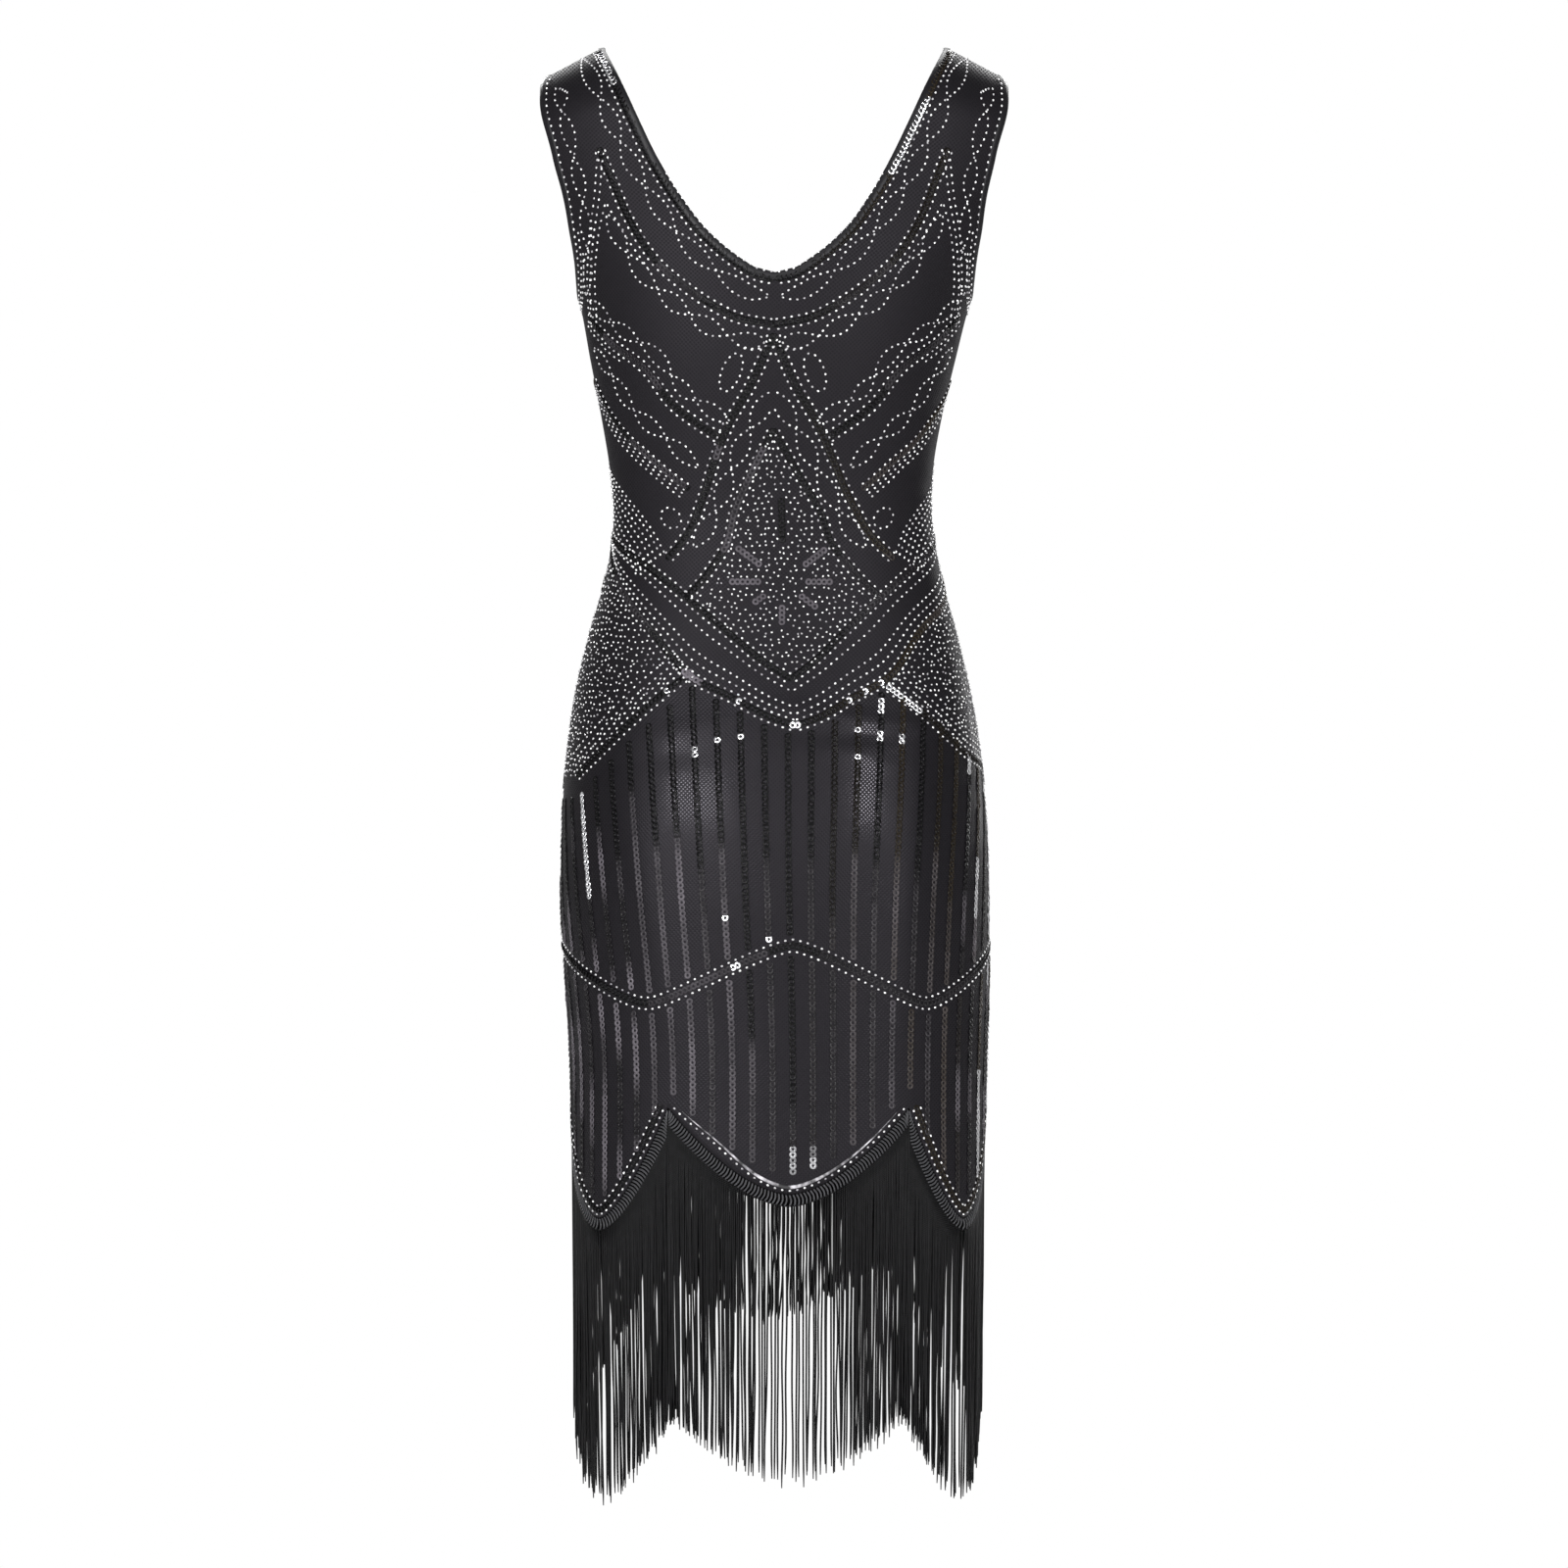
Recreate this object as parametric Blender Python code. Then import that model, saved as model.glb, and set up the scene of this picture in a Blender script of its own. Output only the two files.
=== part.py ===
"""Sleeveless flapper dress in its worn, hollow form: two panels, bound edges and a fringed hem.

Metres, +Z up.  The origin is midway between the shoulder seams, at the height of their inner
ends, where the wearer's shoulders hold the dress.  -Y is the dress's back, +X the wearer's right.
A "drop" is a distance below the origin.  A "level" is the drop at the neck end of a row of points,
which slopes near the shoulder seams and is flat below the arms.
"""
import bpy
import bmesh
import numpy as np


def table(columns, rows):
    """A short table's named columns."""
    return dict(zip(columns, np.array(rows).T))


# ---- cloth, seams and bindings
CLOTH_WALL = 0.0020          # mesh and satin worn as one layer
SEAM_GAP = 0.0003            # from a piece's edge to the seam's plane
BINDING_WIDTH = 0.0040       # bound strip past the cloth's cut edge
BINDING_PROUD = 0.0005       # bound strip above each face of the cloth

# ---- sections of the worn dress, from the shoulders to the fringe's tips
ROUNDNESS = 2.25             # superellipse power of every section: 2 is an ellipse
SECTIONS = table(
    ("drop", "half_width", "back_depth", "front_depth", "sway"), [
        (0.000, 0.2010, 0.0740, 0.0640, 0.0000),
        (0.024, 0.1980, 0.0760, 0.0660, 0.0000),
        (0.055, 0.1950, 0.0790, 0.0720, 0.0000),
        (0.085, 0.1880, 0.0840, 0.0830, 0.0000),
        (0.111, 0.1772, 0.0900, 0.0960, 0.0005),
        (0.137, 0.1678, 0.0950, 0.1080, 0.0010),
        (0.158, 0.1586, 0.0975, 0.1160, 0.0010),
        (0.190, 0.1480, 0.0985, 0.1230, 0.0005),
        (0.235, 0.1378, 0.0965, 0.1260, -0.0010),
        (0.280, 0.1282, 0.0890, 0.1150, -0.0020),
        (0.320, 0.1218, 0.0815, 0.1010, -0.0020),
        (0.355, 0.1202, 0.0780, 0.0930, -0.0010),
        (0.400, 0.1272, 0.0800, 0.0920, -0.0005),
        (0.440, 0.1385, 0.0880, 0.0945, -0.0010),
        (0.485, 0.1492, 0.1010, 0.0985, -0.0010),
        (0.530, 0.1562, 0.1130, 0.1025, -0.0005),
        (0.580, 0.1600, 0.1205, 0.1055, 0.0000),
        (0.640, 0.1617, 0.1215, 0.1065, 0.0005),
        (0.700, 0.1603, 0.1170, 0.1050, 0.0020),
        (0.760, 0.1577, 0.1120, 0.1030, 0.0030),
        (0.820, 0.1562, 0.1080, 0.1010, 0.0030),
        (0.880, 0.1547, 0.1055, 0.0995, 0.0030),
        (0.960, 0.1528, 0.1035, 0.0980, 0.0030),
        (1.100, 0.1505, 0.1010, 0.0965, 0.0030),
    ])

# ---- shoulders, neckline and armholes
SHOULDER_RADIUS = 0.050      # of the fore-and-aft curve over each shoulder
SHOULDER_SLOPE = 0.50        # fall of the shoulder seam for each metre outwards
NECK_HALF_WIDTH = 0.1315     # inner end of the cloth's shoulder seam
UNDERARM_DROP = 0.190
NECKLINES = {                # the bound edges
    "back": table(("drop", "half_width"), [
        (0.0000, 0.1275),
        (0.0266, 0.1145),
        (0.0562, 0.1010),
        (0.0858, 0.0866),
        (0.1154, 0.0690),
        (0.1412, 0.0490),
        (0.1560, 0.0320),
        (0.1648, 0.0190),
        (0.1694, 0.0095),
        (0.1712, 0.0000),
    ]),
    "front": table(("drop", "half_width"), [
        (0.0000, 0.1275),
        (0.0300, 0.1145),
        (0.0640, 0.1000),
        (0.0980, 0.0850),
        (0.1320, 0.0670),
        (0.1610, 0.0465),
        (0.1780, 0.0300),
        (0.1885, 0.0180),
        (0.1940, 0.0090),
        (0.1962, 0.0000),
    ]),
}
ARMHOLE = table(             # degrees round the section from the centre line to the cloth's edge
    ("level", "edge_angle"), [
        (0.000, 57.4),
        (0.004, 59.0),
        (0.014, 60.0),
        (0.070, 58.5),
        (0.100, 60.5),
        (0.130, 64.0),
        (0.154, 69.5),
        (0.168, 74.0),
        (0.180, 79.5),
        (0.186, 83.5),
        (0.190, 90.0),
    ])

# ---- scalloped hem: a wide lobe at each centre and two narrower ones to each side seam
HALF_GIRTH = 0.205           # centre line to side seam along the hem
CUSP_AROUND = 0.088          # centre line to the first cusp
CUSP_DROP = 0.797
CENTRE_LOBE_DROP = 0.862
SIDE_LOBE_DROP = 0.881
LOBE_POWER = 1.65            # 2 would be a parabola
SKIRT_TURN = 0.008           # the skirt sits turned, its back pattern towards +X
FLAT_ROWS_END = 0.700        # rows below this bend towards the scallops

# ---- fringe
HEADER_HEIGHT = 0.0080       # looped strip that the strands hang from
HEADER_WALL = 0.0016
STRANDS_PER_SIDE = 100
STRAND_WIDTH = 0.0017
STRAND_TIP_SHARE = 0.70
TIP_DROP_AT_CUSP = 1.028
CENTRE_TIP_RISE = {"back": 0.0, "front": 0.116}  # the front's tips rise towards its centre line
TIP_SCALLOP_SHARE = 0.75     # of the hem's scallops that the tips repeat
TIP_RAGGED = 0.005           # most that a tip lies above or below its scallop

# ---- mesh density
COLUMNS_TO_CUSP = 8
COLUMNS_PAST_CUSP = 9
STRAP_SHARES = (0.0, 0.024, 0.075, 0.15, 0.26, 0.38, 0.51, 0.64, 0.76, 0.86, 0.93, 0.975, 1.0)
UNDERARM_ROWS = (0.004, 0.0)  # heights above the underarm
SEAT_ROWS = 19
HEM_ROWS = 7
LEAST_ROW_STEP = 0.006

SIDES = {"back": -1, "front": 1}
HANDS = {"right": 1, "left": -1}
COLLECTION = "flapper_dress"


def smooth(at, source, column, key="drop"):
    """Cubic through a table's rows, each slope taken from the rows beside it."""
    stations = source[key]
    values = source[column]
    slopes = np.gradient(values, stations)
    low = np.clip(np.searchsorted(stations, at, side="right") - 1, 0, len(stations) - 2)
    step = stations[low + 1] - stations[low]
    u = np.clip((at - stations[low]) / step, 0.0, 1.0)
    start = (1 + 2 * u) * (1 - u) ** 2 * values[low] + u * (1 - u) ** 2 * step * slopes[low]
    end = u * u * (3 - 2 * u) * values[low + 1] + u * u * (u - 1) * step * slopes[low + 1]
    return start + end


def half_width(drop):
    """Half the section's width."""
    return smooth(drop, SECTIONS, "half_width")


def depth(level, side):
    """Side seam plane to the centre line, brought to nothing over the shoulder's curve."""
    rise = np.clip(level / SHOULDER_RADIUS, 0.0, 1.0)
    return smooth(level, SECTIONS, side + "_depth") * np.sqrt(rise * (2.0 - rise))


def section_angle(across, drop):
    """Angle round the section, from its centre line, at which a point lies this far across."""
    share = np.clip(across / half_width(drop), 0.0, 1.0)
    return np.arcsin(share ** (ROUNDNESS / 2))


def even_angle(share):
    """Angle that leaves this share of the half panel's girth behind it, on a usual section."""
    angle = np.linspace(0.0, np.pi / 2, 400)
    x = np.sin(angle) ** (2 / ROUNDNESS)
    y = 0.70 * np.maximum(np.cos(angle), 0.0) ** (2 / ROUNDNESS)
    girth = np.concatenate([[0.0], np.cumsum(np.hypot(np.diff(x), np.diff(y)))])
    return np.interp(share, girth / girth[-1], angle)


def body_points(angle, level, drop, side, hand):
    """Points on the dress's outer face, "hand" being 1 on the wearer's right and -1 on the left."""
    x = smooth(drop, SECTIONS, "sway") + hand * half_width(drop) * np.sin(angle) ** (2 / ROUNDNESS)
    y = depth(level, side) * np.maximum(np.cos(angle), 0.0) ** (2 / ROUNDNESS) + SEAM_GAP
    return np.stack([x, SIDES[side] * y, -drop], axis=-1)


def cut_neckline(side):
    """The cloth's own edge, outside the bound one by the binding's width."""
    bound = NECKLINES[side]
    drop = np.linspace(0.0, bound["drop"][-1], 400)
    across = smooth(drop, bound, "half_width")
    along = np.stack([np.gradient(across), np.gradient(drop)])
    along /= np.hypot(*along)
    offset = BINDING_WIDTH + SEAM_GAP
    cut_across = across + offset * along[1]
    cut_drop = drop - offset * along[0]
    point_drop = cut_drop[-1] - cut_across[-1] * along[1, -1] / along[0, -1]
    return {"drop": np.append(cut_drop, point_drop), "half_width": np.append(cut_across, 0.0)}


def row_levels(side):
    """Levels of a panel's rows down to where they start to follow the hem."""
    underarm = UNDERARM_DROP - np.array(UNDERARM_ROWS)
    strap = np.array(STRAP_SHARES) * cut_neckline(side)["drop"][-1]
    to_underarm = np.abs(strap[:, None] - underarm[None, :]).min(axis=1)
    strap = strap[to_underarm > LEAST_ROW_STEP]
    seat = np.linspace(UNDERARM_DROP, FLAT_ROWS_END, SEAT_ROWS + 1)
    seat = seat[seat > strap.max() + LEAST_ROW_STEP]
    return np.unique(np.concatenate([strap, underarm, seat]))


def neck_rows(side):
    """Number of rows that start on the neckline, the last of them at its point."""
    return int(np.sum(row_levels(side) <= cut_neckline(side)["drop"][-1]))


def armhole_rows(side):
    """Number of rows that end on the armhole, the last of them at the underarm."""
    return int(np.sum(row_levels(side) <= UNDERARM_DROP))


def hem_drop(around, side):
    """Drop of the scalloped edge at a signed distance round from the side's centre line."""
    turn = -SIDES[side] * SKIRT_TURN
    cusp = CUSP_AROUND + turn * np.sign(around)
    side_lobe_half = (HALF_GIRTH - cusp) / 2
    from_centre_low = np.abs(around - turn) / CUSP_AROUND
    from_side_low = np.abs(np.abs(around) - cusp - side_lobe_half) / side_lobe_half
    in_centre = np.abs(around) < cusp
    from_low = np.where(in_centre, from_centre_low, from_side_low)
    low = np.where(in_centre, CENTRE_LOBE_DROP, SIDE_LOBE_DROP)
    return low - (low - CUSP_DROP) * from_low ** LOBE_POWER


def column_shares(side, hand):
    """Shares of the half girth at a half panel's columns, one of them on the cusp."""
    cusp = (CUSP_AROUND - SIDES[side] * hand * SKIRT_TURN) / HALF_GIRTH
    inner = np.linspace(0.0, cusp, COLUMNS_TO_CUSP + 1)
    outer = np.linspace(cusp, 1.0, COLUMNS_PAST_CUSP + 1)[1:]
    return np.concatenate([inner, outer])


def upper_rows(side, hand):
    """Rows from the shoulder seam, between neckline and armhole, down to the flat rows' end."""
    level = row_levels(side)[:, None]
    cut = cut_neckline(side)
    across_in = np.interp(level, cut["drop"], cut["half_width"])
    angle_in = section_angle(across_in, level)
    armhole_angle = np.radians(smooth(level, ARMHOLE, "edge_angle", key="level"))
    angle_out = np.where(level < UNDERARM_DROP, armhole_angle, np.pi / 2)
    share = even_angle(column_shares(side, hand))[None, :] / (np.pi / 2)
    angle = angle_in + (angle_out - angle_in) * share
    across = half_width(level) * np.sin(angle) ** (2 / ROUNDNESS)
    slope = SHOULDER_SLOPE * np.clip(1.0 - level / UNDERARM_DROP, 0.0, 1.0)
    drop = level + slope * np.maximum(across - NECK_HALF_WIDTH, 0.0)
    return body_points(angle, level, drop, side, hand)


def hem_rows(side, hand):
    """Rows that bend from flat to the scalloped edge."""
    share = column_shares(side, hand)[None, :]
    step = np.linspace(0.0, 1.0, HEM_ROWS + 1)[1:, None]
    edge_drop = hem_drop(hand * share * HALF_GIRTH, side)
    drop = FLAT_ROWS_END + step * (edge_drop - FLAT_ROWS_END)
    return body_points(even_angle(share), drop, drop, side, hand)


def half_panel(side, hand):
    """Grid of a half panel's outer points, rows down from the shoulder, columns out to the seam."""
    return np.concatenate([upper_rows(side, hand), hem_rows(side, hand)])


def surface_normals(grid, side, hand):
    """Outward unit normals of a half panel's grid, square to the seams and the centre line."""
    down = np.gradient(grid, axis=0)
    out = np.gradient(grid, axis=1)
    normal = np.cross(down, out) * -SIDES[side] * hand
    normal[neck_rows(side) - 1:, 0, 0] = 0.0
    normal[armhole_rows(side) - 1:, -1, 1] = 0.0
    normal[0, :, 1] = 0.0
    return normal / np.linalg.norm(normal, axis=2, keepdims=True)


def new_object(name, verts, faces, material):
    """A mesh object in the dress's collection, shared points welded and faces made to point out."""
    bm = bmesh.new()
    made = [bm.verts.new(v) for v in verts]
    for face in faces:
        bm.faces.new([made[i] for i in face])
    bmesh.ops.remove_doubles(bm, verts=bm.verts, dist=1e-5)
    bmesh.ops.recalc_face_normals(bm, faces=bm.faces)
    mesh = bpy.data.meshes.new(name)
    bm.to_mesh(mesh)
    bm.free()
    mesh.shade_smooth()
    mesh.materials.append(material)
    bpy.data.collections[COLLECTION].objects.link(bpy.data.objects.new(name, mesh))


def new_material(name, colour, roughness):
    """A cloth's colour and roughness."""
    material = bpy.data.materials.new(name)
    material.use_nodes = True
    shader = material.node_tree.nodes["Principled BSDF"]
    shader.inputs["Base Color"].default_value = (*colour, 1.0)
    shader.inputs["Roughness"].default_value = roughness
    shader.inputs["Metallic"].default_value = 0.0
    return material


def free_edges(rows, columns, centre_from):
    """Neighbouring points along a half panel's free edges: shoulder, hem, side and neckline."""
    across = np.arange(columns - 1)
    down = np.arange(rows - 1) * columns
    last_row = (rows - 1) * columns
    starts = np.concatenate([across, last_row + across, down + columns - 1, down[:centre_from]])
    steps = np.repeat([1, columns], [2 * len(across), len(down) + centre_from])
    return list(zip(starts, starts + steps))


def panel(side, material):
    """One side of the dress: both halves' outer and inner faces, joined round every free edge."""
    verts = []
    faces = []
    for hand in HANDS.values():
        outer = half_panel(side, hand)
        inner = outer - CLOTH_WALL * surface_normals(outer, side, hand)
        rows, columns = outer.shape[:2]
        first = len(verts)
        through = rows * columns
        verts += list(outer.reshape(-1, 3)) + list(inner.reshape(-1, 3))
        for row in range(rows - 1):
            for column in range(columns - 1):
                a = first + row * columns + column
                quad = (a, a + 1, a + columns + 1, a + columns)
                faces.append(quad)
                faces.append(tuple(i + through for i in quad))
        for a, b in free_edges(rows, columns, neck_rows(side) - 1):
            faces.append((first + a, first + b, first + b + through, first + a + through))
    new_object(side + "_panel", verts, faces, material)


def edge_piece(side, hand, column, count):
    """Points and normals down an edge column of a half panel, its ends brought onto the seams."""
    grid = half_panel(side, hand)
    normals = surface_normals(grid, side, hand)
    points = grid[:count, column].copy()
    points[0, 1] = 0.0
    if column != 0:
        points[-1, 1] = 0.0
    return points, normals[:count, column]


def chain(pieces):
    """A closed loop from edge pieces laid end to end, each shared end kept once."""
    points = np.concatenate([p[:-1] for p, _ in pieces])
    normals = np.concatenate([n[:-1] for _, n in pieces])
    return points, normals


def turned(piece):
    """An edge piece taken the other way."""
    return piece[0][::-1], piece[1][::-1]


def binding(name, loop, normals, middle, material):
    """A bound strip round a closed edge, on the side of it where the opening's middle lies.

    The strip's corners lie off the edge's own points: along the edge's sideways direction,
    lengthened where the edge turns a corner, and above or below the cloth.
    """
    before = loop - np.roll(loop, 1, axis=0)
    after = np.roll(loop, -1, axis=0) - loop
    before /= np.linalg.norm(before, axis=1, keepdims=True)
    after /= np.linalg.norm(after, axis=1, keepdims=True)
    along = before + after
    sideways = np.cross(along, normals)
    sideways /= np.linalg.norm(sideways, axis=1, keepdims=True)
    sideways *= np.sign(np.sum(sideways * (middle - loop)))
    sideways /= np.linalg.norm(along, axis=1, keepdims=True) / 2
    near = loop + SEAM_GAP * sideways
    far = loop + (SEAM_GAP + BINDING_WIDTH) * sideways
    above = BINDING_PROUD * normals
    below = -(CLOTH_WALL + BINDING_PROUD) * normals
    ring = np.stack([near + above, far + above, far + below, near + below], axis=1)
    faces = []
    for i in range(len(loop)):
        j = (i + 1) % len(loop)
        for a in range(4):
            b = (a + 1) % 4
            faces.append((4 * i + a, 4 * i + b, 4 * j + b, 4 * j + a))
    new_object(name, list(ring.reshape(-1, 3)), faces, material)


def neck_binding(material):
    """The bound neckline: down and up the back's V, then down and up the front's."""
    back_left, back_right, front_right, front_left = [
        edge_piece(side, hand, 0, neck_rows(side))
        for side, hand in (("back", -1), ("back", 1), ("front", 1), ("front", -1))]
    loop, normals = chain([back_left, turned(back_right), front_right, turned(front_left)])
    binding("neck_binding", loop, normals, np.zeros(3), material)


def armhole_binding(name, hand, material):
    """One bound armhole: down its back edge and up its front one."""
    back, front = [edge_piece(side, hand, -1, armhole_rows(side)) for side in SIDES]
    loop, normals = chain([back, turned(front)])
    binding(name, loop, normals, loop.mean(axis=0), material)


def fringe_points(around, drop, side):
    """Outer and inner points of the fringe at signed distances round from the centre line."""
    hand = np.sign(around)
    angle = even_angle(np.abs(around) / HALF_GIRTH)
    outer = body_points(angle, drop, drop, side, hand)
    power = 2 - 2 / ROUNDNESS
    slope_x = hand * np.sin(angle) ** power / half_width(drop)
    slope_y = SIDES[side] * np.maximum(np.cos(angle), 0.0) ** power / depth(drop, side)
    normal = np.stack([slope_x, slope_y, np.zeros_like(slope_x)], axis=-1)
    normal /= np.linalg.norm(normal, axis=-1, keepdims=True)
    return outer, outer - HEADER_WALL * normal


def strand_places(reach, side):
    """Middles of the strands' roots, evenly apart along the scalloped hem."""
    around = np.linspace(-reach, reach, 2000)
    steps = np.hypot(np.diff(around), np.diff(hem_drop(around, side)))
    length = np.concatenate([[0.0], np.cumsum(steps)])
    share = (np.arange(STRANDS_PER_SIDE) + 0.5) / STRANDS_PER_SIDE
    return np.interp(share * length[-1], length, around)


def tip_drops(around, side):
    """Drops of the strands' tips: the hem's scallops again, shallower and ragged."""
    order = np.arange(len(around))
    wander = 0.6 * np.sin(2.4 * order) + 0.4 * np.sin(5.1 * order + 1.0)
    scallop = TIP_SCALLOP_SHARE * (hem_drop(around, side) - CUSP_DROP)
    rise = CENTRE_TIP_RISE[side] * (1.0 - (around / HALF_GIRTH) ** 4)
    return TIP_DROP_AT_CUSP + scallop - rise + TIP_RAGGED * wander


def strand_tip(around, root, tip_drop, side):
    """The four corners of a strand's tip, below its root and narrower."""
    outer, inner = fringe_points(np.array([around]), np.array([tip_drop]), side)
    spread = (np.array(root) - np.mean(root, axis=0)) * STRAND_TIP_SHARE
    spread[:, 2] = 0.0
    return list((outer[0] + inner[0]) / 2 + spread)


def fringe(side, material):
    """Half the fringe: a header strip parted from the hem, strands drawn out of its lower face."""
    reach = HALF_GIRTH - SEAM_GAP
    centres = strand_places(reach, side)
    strand_sides = centres[:, None] + np.array([-0.5, 0.5]) * STRAND_WIDTH
    around = np.concatenate([[-reach], strand_sides.ravel(), [reach]])
    top_drop = hem_drop(around, side) + 2 * SEAM_GAP
    top_outer, top_inner = fringe_points(around, top_drop, side)
    low_outer, low_inner = fringe_points(around, top_drop + HEADER_HEIGHT, side)
    ring = np.stack([top_outer, low_outer, low_inner, top_inner], axis=1)
    verts = list(ring.reshape(-1, 3))
    last = 4 * (len(around) - 1)
    faces = [(0, 1, 2, 3), (last, last + 1, last + 2, last + 3)]
    for i in range(len(around) - 1):
        for a in range(4):
            b = (a + 1) % 4
            under_strand = a == 1 and i % 2 == 1
            if not under_strand:
                faces.append((4 * i + a, 4 * i + 4 + a, 4 * i + 4 + b, 4 * i + b))
    for number, tip_drop in enumerate(tip_drops(centres, side)):
        left = 4 * (2 * number + 1)
        root = (left + 1, left + 5, left + 6, left + 2)
        tip = len(verts)
        verts += strand_tip(centres[number], [verts[i] for i in root], tip_drop, side)
        for a in range(4):
            b = (a + 1) % 4
            faces.append((root[a], root[b], tip + b, tip + a))
        faces.append((tip, tip + 1, tip + 2, tip + 3))
    new_object("fringe_" + side, verts, faces, material)


def build():
    """Clears the scene and makes the dress's seven pieces."""
    for item in list(bpy.data.objects):
        bpy.data.objects.remove(item)
    bpy.context.scene.collection.children.link(bpy.data.collections.new(COLLECTION))
    cloth = new_material("black_mesh_over_satin", (0.028, 0.027, 0.030), 0.55)
    satin = new_material("black_binding", (0.020, 0.020, 0.022), 0.45)
    rayon = new_material("black_rayon_fringe", (0.012, 0.012, 0.014), 0.40)
    for side in SIDES:
        panel(side, cloth)
        fringe(side, rayon)
    neck_binding(satin)
    for name, hand in HANDS.items():
        armhole_binding("armhole_binding_" + name, hand, satin)


build()
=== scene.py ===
"""Looks of a sleeveless flapper dress: beaded black mesh over satin, sequin stripes and a fringe.

Metres, +Z up, in the part's frame: -Y is the dress's back, +X the wearer's right.  A place on the
cloth is (around, drop).  "Around" is the distance round the section from a side's centre line,
positive to the right of someone who looks at that side, and "drop" is the distance below the
shoulder seams' inner ends.
"""

import bmesh
import bpy
import numpy as np
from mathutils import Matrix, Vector


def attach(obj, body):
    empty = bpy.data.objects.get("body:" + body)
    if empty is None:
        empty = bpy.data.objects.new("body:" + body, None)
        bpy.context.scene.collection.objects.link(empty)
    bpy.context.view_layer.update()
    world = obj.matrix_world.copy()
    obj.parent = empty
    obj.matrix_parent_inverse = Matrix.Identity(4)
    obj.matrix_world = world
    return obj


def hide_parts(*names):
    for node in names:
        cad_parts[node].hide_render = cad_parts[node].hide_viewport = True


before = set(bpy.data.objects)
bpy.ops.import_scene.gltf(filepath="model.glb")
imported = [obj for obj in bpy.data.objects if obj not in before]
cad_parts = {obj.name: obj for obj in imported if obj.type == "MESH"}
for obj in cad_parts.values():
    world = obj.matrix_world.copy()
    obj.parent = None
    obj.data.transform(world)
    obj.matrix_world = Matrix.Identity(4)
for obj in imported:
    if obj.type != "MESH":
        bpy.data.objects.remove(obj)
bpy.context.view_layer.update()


# ---- Dress panels
# Back and front, each one piece of stretch mesh worn over satin, cut with its shoulder straps and a
# V neck and sewn to the other down the sides.  The worn shape comes from the cut, and the cloth
# shows soft creases of wear where the waist gives and over the hips.
SIDES = {"back": -1, "front": 1}
HANDS = (1, -1)


def table(columns, rows):
    """A short table's named columns."""
    return dict(zip(columns, np.array(rows).T))


ROUNDNESS = 2.25             # superellipse power of every section
SECTIONS = table(
    ("drop", "half_width", "back_depth", "front_depth", "sway"), [
        (0.000, 0.2010, 0.0740, 0.0640, 0.0000),
        (0.024, 0.1980, 0.0760, 0.0660, 0.0000),
        (0.055, 0.1950, 0.0790, 0.0720, 0.0000),
        (0.085, 0.1880, 0.0840, 0.0830, 0.0000),
        (0.111, 0.1772, 0.0900, 0.0960, 0.0005),
        (0.137, 0.1678, 0.0950, 0.1080, 0.0010),
        (0.158, 0.1586, 0.0975, 0.1160, 0.0010),
        (0.190, 0.1480, 0.0985, 0.1230, 0.0005),
        (0.235, 0.1378, 0.0965, 0.1260, -0.0010),
        (0.280, 0.1282, 0.0890, 0.1150, -0.0020),
        (0.320, 0.1218, 0.0815, 0.1010, -0.0020),
        (0.355, 0.1202, 0.0780, 0.0930, -0.0010),
        (0.400, 0.1272, 0.0800, 0.0920, -0.0005),
        (0.440, 0.1385, 0.0880, 0.0945, -0.0010),
        (0.485, 0.1492, 0.1010, 0.0985, -0.0010),
        (0.530, 0.1562, 0.1130, 0.1025, -0.0005),
        (0.580, 0.1600, 0.1205, 0.1055, 0.0000),
        (0.640, 0.1617, 0.1215, 0.1065, 0.0005),
        (0.700, 0.1603, 0.1170, 0.1050, 0.0020),
        (0.760, 0.1577, 0.1120, 0.1030, 0.0030),
        (0.820, 0.1562, 0.1080, 0.1010, 0.0030),
        (0.880, 0.1547, 0.1055, 0.0995, 0.0030),
        (0.960, 0.1528, 0.1035, 0.0980, 0.0030),
        (1.100, 0.1505, 0.1010, 0.0965, 0.0030),
    ])
SHOULDER_RADIUS = 0.050
SHOULDER_SLOPE = 0.50
NECK_HALF_WIDTH = 0.1315
UNDERARM_DROP = 0.190
NECKLINES = {                # the bound edges
    "back": table(("drop", "half_width"), [
        (0.0000, 0.1275),
        (0.0266, 0.1145),
        (0.0562, 0.1010),
        (0.0858, 0.0866),
        (0.1154, 0.0690),
        (0.1412, 0.0490),
        (0.1560, 0.0320),
        (0.1648, 0.0190),
        (0.1694, 0.0095),
        (0.1712, 0.0000),
    ]),
    "front": table(("drop", "half_width"), [
        (0.0000, 0.1275),
        (0.0300, 0.1145),
        (0.0640, 0.1000),
        (0.0980, 0.0850),
        (0.1320, 0.0670),
        (0.1610, 0.0465),
        (0.1780, 0.0300),
        (0.1885, 0.0180),
        (0.1940, 0.0090),
        (0.1962, 0.0000),
    ]),
}
ARMHOLE = table(             # degrees round the section from the centre line to the cloth's edge
    ("level", "edge_angle"), [
        (0.000, 57.4),
        (0.004, 59.0),
        (0.014, 60.0),
        (0.070, 58.5),
        (0.100, 60.5),
        (0.130, 64.0),
        (0.154, 69.5),
        (0.168, 74.0),
        (0.180, 79.5),
        (0.186, 83.5),
        (0.190, 90.0),
    ])
CUSP_SHARE = 0.088 / 0.205   # of the half girth, from the centre line to the hem's first cusp
TURN_SHARE = 0.008 / 0.205   # the skirt sits turned
CUSP_DROP = 0.797
CENTRE_LOBE_DROP = 0.862
SIDE_LOBE_DROP = 0.881
LOBE_POWER = 1.65
FLAT_ROWS_END = 0.700
SEAM_GAP = 0.00015
EDGE_INSET = 0.0043          # from the bound neckline in to the cloth's cut edge
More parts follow.
